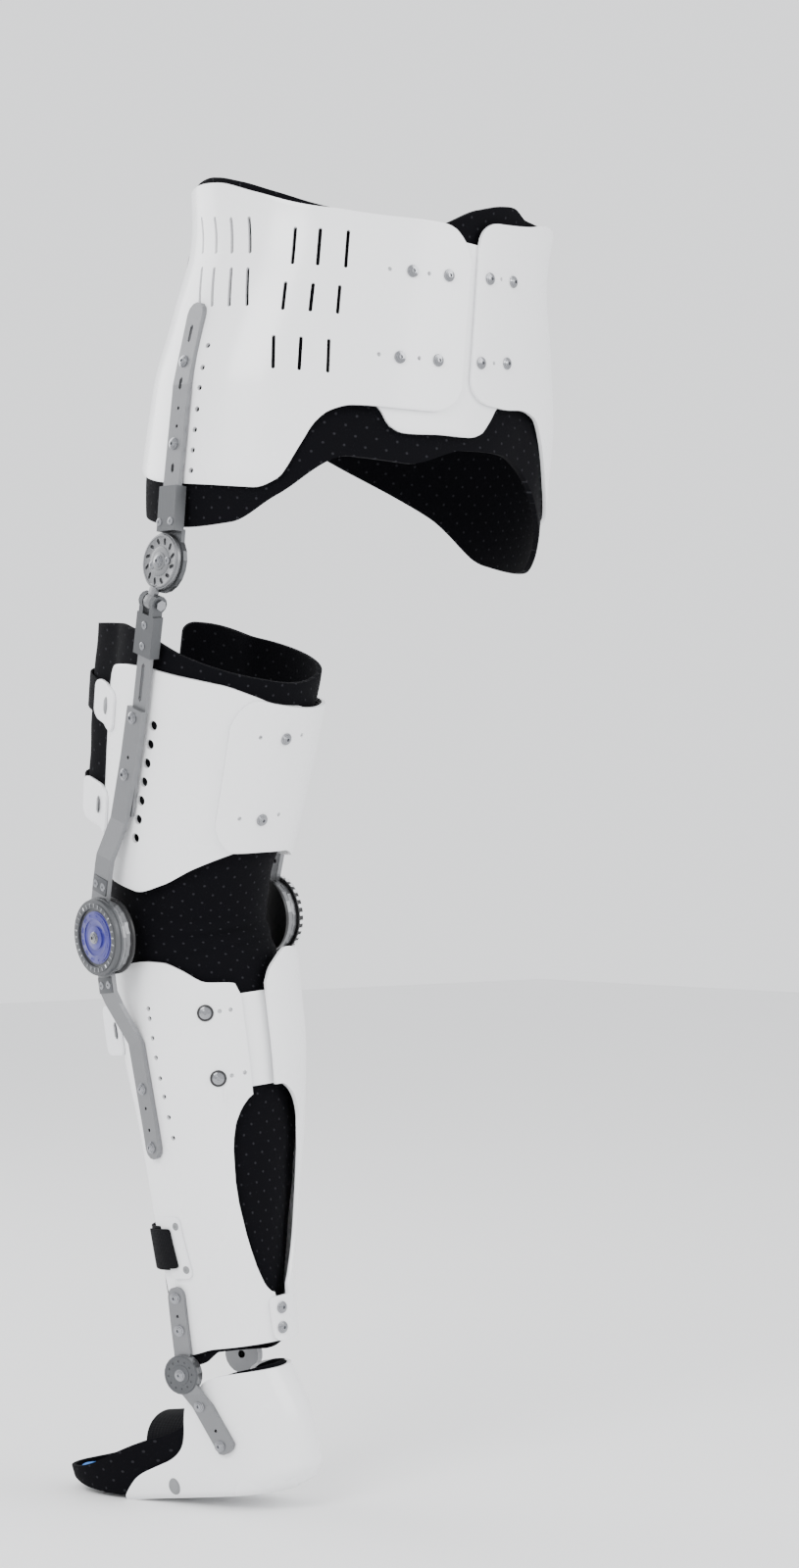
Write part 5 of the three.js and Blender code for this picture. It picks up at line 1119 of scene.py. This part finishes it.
# the outline of the foot seen from above, closed and smooth
def footOutline():
    plan, count = footPiece["plan"], footPiece["columns"]
    ring = [(a, w) for a, w in reversed(plan)] + [(a, -w) for a, w in plan[1:-1]]
    points = []
    for i in range(count):
        at = i / count * len(ring)
        k, t = int(at), at - int(at)
        near = (ring[(k + j) % len(ring)] for j in (-1, 0, 1, 2))
        points.append(tuple(0.5 * (
            2 * b + (c - a) * t + (2 * a - 5 * b + 4 * c - d) * t * t + (3 * b - a - 3 * c + d) * t ** 3)
            for a, b, c, d in zip(*near)))
    return points + points[:1]


def outlineAt(outline, s):
    return outline[min(int(round(s * footPiece["columns"])), footPiece["columns"])]


# how far the sole has risen towards the toe
def toeSpring(y):
    p = footPiece
    forward = (p["heelBack"] - y) / p["length"]
    return p["toeRise"] * max((forward - p["springFrom"]) / p["springOver"], 0) ** p["springPower"]


def footHull(name, inset, wall):
    p = footPiece
    outline = footOutline()
    ups, sideSteps, heelSteps = zip(*p["levels"])
    narrow, heel = smoothLine(ups, sideSteps), smoothLine(ups, heelSteps)
    lowest = -1 + inset / p["drop"]

    def mapping(s, t):
        along, wide = outlineAt(outline, s)
        level = lowest + (p["top"] - lowest) * t ** 1.5
        step = inset + narrow(level)
        heelStep = inset + heel(level)
        y = p["heelBack"] - heelStep - along * (p["length"] - heelStep - step)
        point = Vector((p["middle"] + wide * (p["half"] - step), y, level * p["drop"] + toeSpring(y)))
        return point, (s * 0.7, level * p["drop"] * millimetre)
    piece = gridPiece(name, p["columns"], p["rows"], mapping, isClosed=True)
    bpy.ops.object.mode_set(mode="EDIT")
    bpy.ops.mesh.select_all(action="DESELECT")
    bpy.ops.object.mode_set(mode="OBJECT")
    for vertex in piece.data.vertices:
        vertex.select = vertex.co.z - toeSpring(vertex.co.y) < lowest * p["drop"] + 0.01
    for edge in piece.data.edges:
        edge.select = all(piece.data.vertices[i].select for i in edge.vertices)
    bpy.ops.object.mode_set(mode="EDIT")
    bpy.ops.mesh.select_mode(type="EDGE")
    bpy.ops.mesh.fill()
    bpy.ops.mesh.select_all(action="SELECT")
    bpy.ops.mesh.normals_make_consistent(inside=False)
    bpy.ops.object.mode_set(mode="OBJECT")
    return applied(piece, "SOLIDIFY", thickness=wall, offset=-1)


# a slab with a side outline, drawn back and up, right across the foot
def sideSlab(outline):
    reach = 120
    clearSelection()
    bpy.ops.mesh.primitive_circle_add(vertices=len(outline), fill_type="NGON")
    piece = bpy.context.object
    for vertex, (back, up) in zip(piece.data.vertices, outline):
        vertex.co = (-reach, back * footPiece["drop"], up * footPiece["drop"])
    bpy.ops.object.mode_set(mode="EDIT")
    bpy.ops.mesh.select_all(action="SELECT")
    bpy.ops.mesh.extrude_region_move(TRANSFORM_OT_translate={"value": (2 * reach, 0, 0)})
    bpy.ops.mesh.select_all(action="SELECT")
    bpy.ops.mesh.normals_make_consistent(inside=False)
    bpy.ops.object.mode_set(mode="OBJECT")
    return piece


# the outline with its corners cut twice, which rounds them
def roundedSide(outline):
    for _ in range(2):
        finer = []
        for a, b in zip(outline, outline[1:] + outline[:1]):
            finer += [(0.75 * a[0] + 0.25 * b[0], 0.75 * a[1] + 0.25 * b[1]),
                      (0.25 * a[0] + 0.75 * b[0], 0.25 * a[1] + 0.75 * b[1])]
        outline = finer
    return outline


def buildInsole():
    p, sole = footPiece, footPiece["insole"]
    outline = footOutline()

    def onSole(s, t):
        along, wide = outlineAt(outline, s)
        rim = p["heelBack"] - sole["heel"] - along * (p["length"] - sole["heel"] - sole["side"])
        y = sole["middle"] + (rim - sole["middle"]) * t
        x = wide * (p["half"] - sole["side"]) * t
        return Vector((p["middle"] + x, y, sole["up"] + toeSpring(y))), (x * millimetre, y * millimetre)
    insole = gridPiece("insolePiece", p["columns"], 14, onSole, isClosed=True)
    thickened(insole, sole["wall"], 1.0)
    settle(insole, footFrame, "foot", finishes["insole_blue"], ["insole"])


def buildFootStrap():
    arch = footPiece["strap"]

    def overInstep(s, t):
        a = math.pi * (1 - s)
        x = footPiece["middle"] + arch["half"] * math.cos(a)
        z = arch["low"] + arch["rise"] * max(math.sin(a), 0) ** 0.8
        y = arch["front"] + (arch["back"] - arch["front"]) * t
        return Vector((x, y, z)), (s * 0.12, y * millimetre)
    strap = thickened(gridPiece("footStrap", 60, 16, overInstep), arch["wall"], 0.5)
    settle(strap, footFrame, "foot", finishes["strap_black"], ["foot_strap"])


def buildFoot():
    p = footPiece
    shell = footHull("footShell", 0, p["wall"])
    cut(shell, [sideSlab(roundedSide(p["shellSide"]))], "INTERSECT")
    rounded(shell, 0.9, 55)
    settleShell(shell, footFrame, "foot", "foot_shell")
    liner = footHull("footLiner", p["linerGap"], p["linerWall"])
    cut(liner, [sideSlab(roundedSide(p["linerSide"]))], "INTERSECT")
    settleLiner(liner, footFrame, "foot", "foot_liner")
    buildInsole()
    buildFootStrap()
    for side, label in ((1, "Lateral"), (-1, "Medial")):
        seat = seatOnNode("foot_shell", footFrame, *p["rivet"], side=side)
        fixings("footRivet" + label, "rivet", [seat], "foot", rivetGrey)
    print("foot done")


buildPelvis()
buildHip()
buildThigh()
buildKneeSleeve()
buildKneeDials()
buildCalf()
buildAnkle()
buildFoot()
for model in models.values():
    bpy.data.objects.remove(model, do_unlink=True)
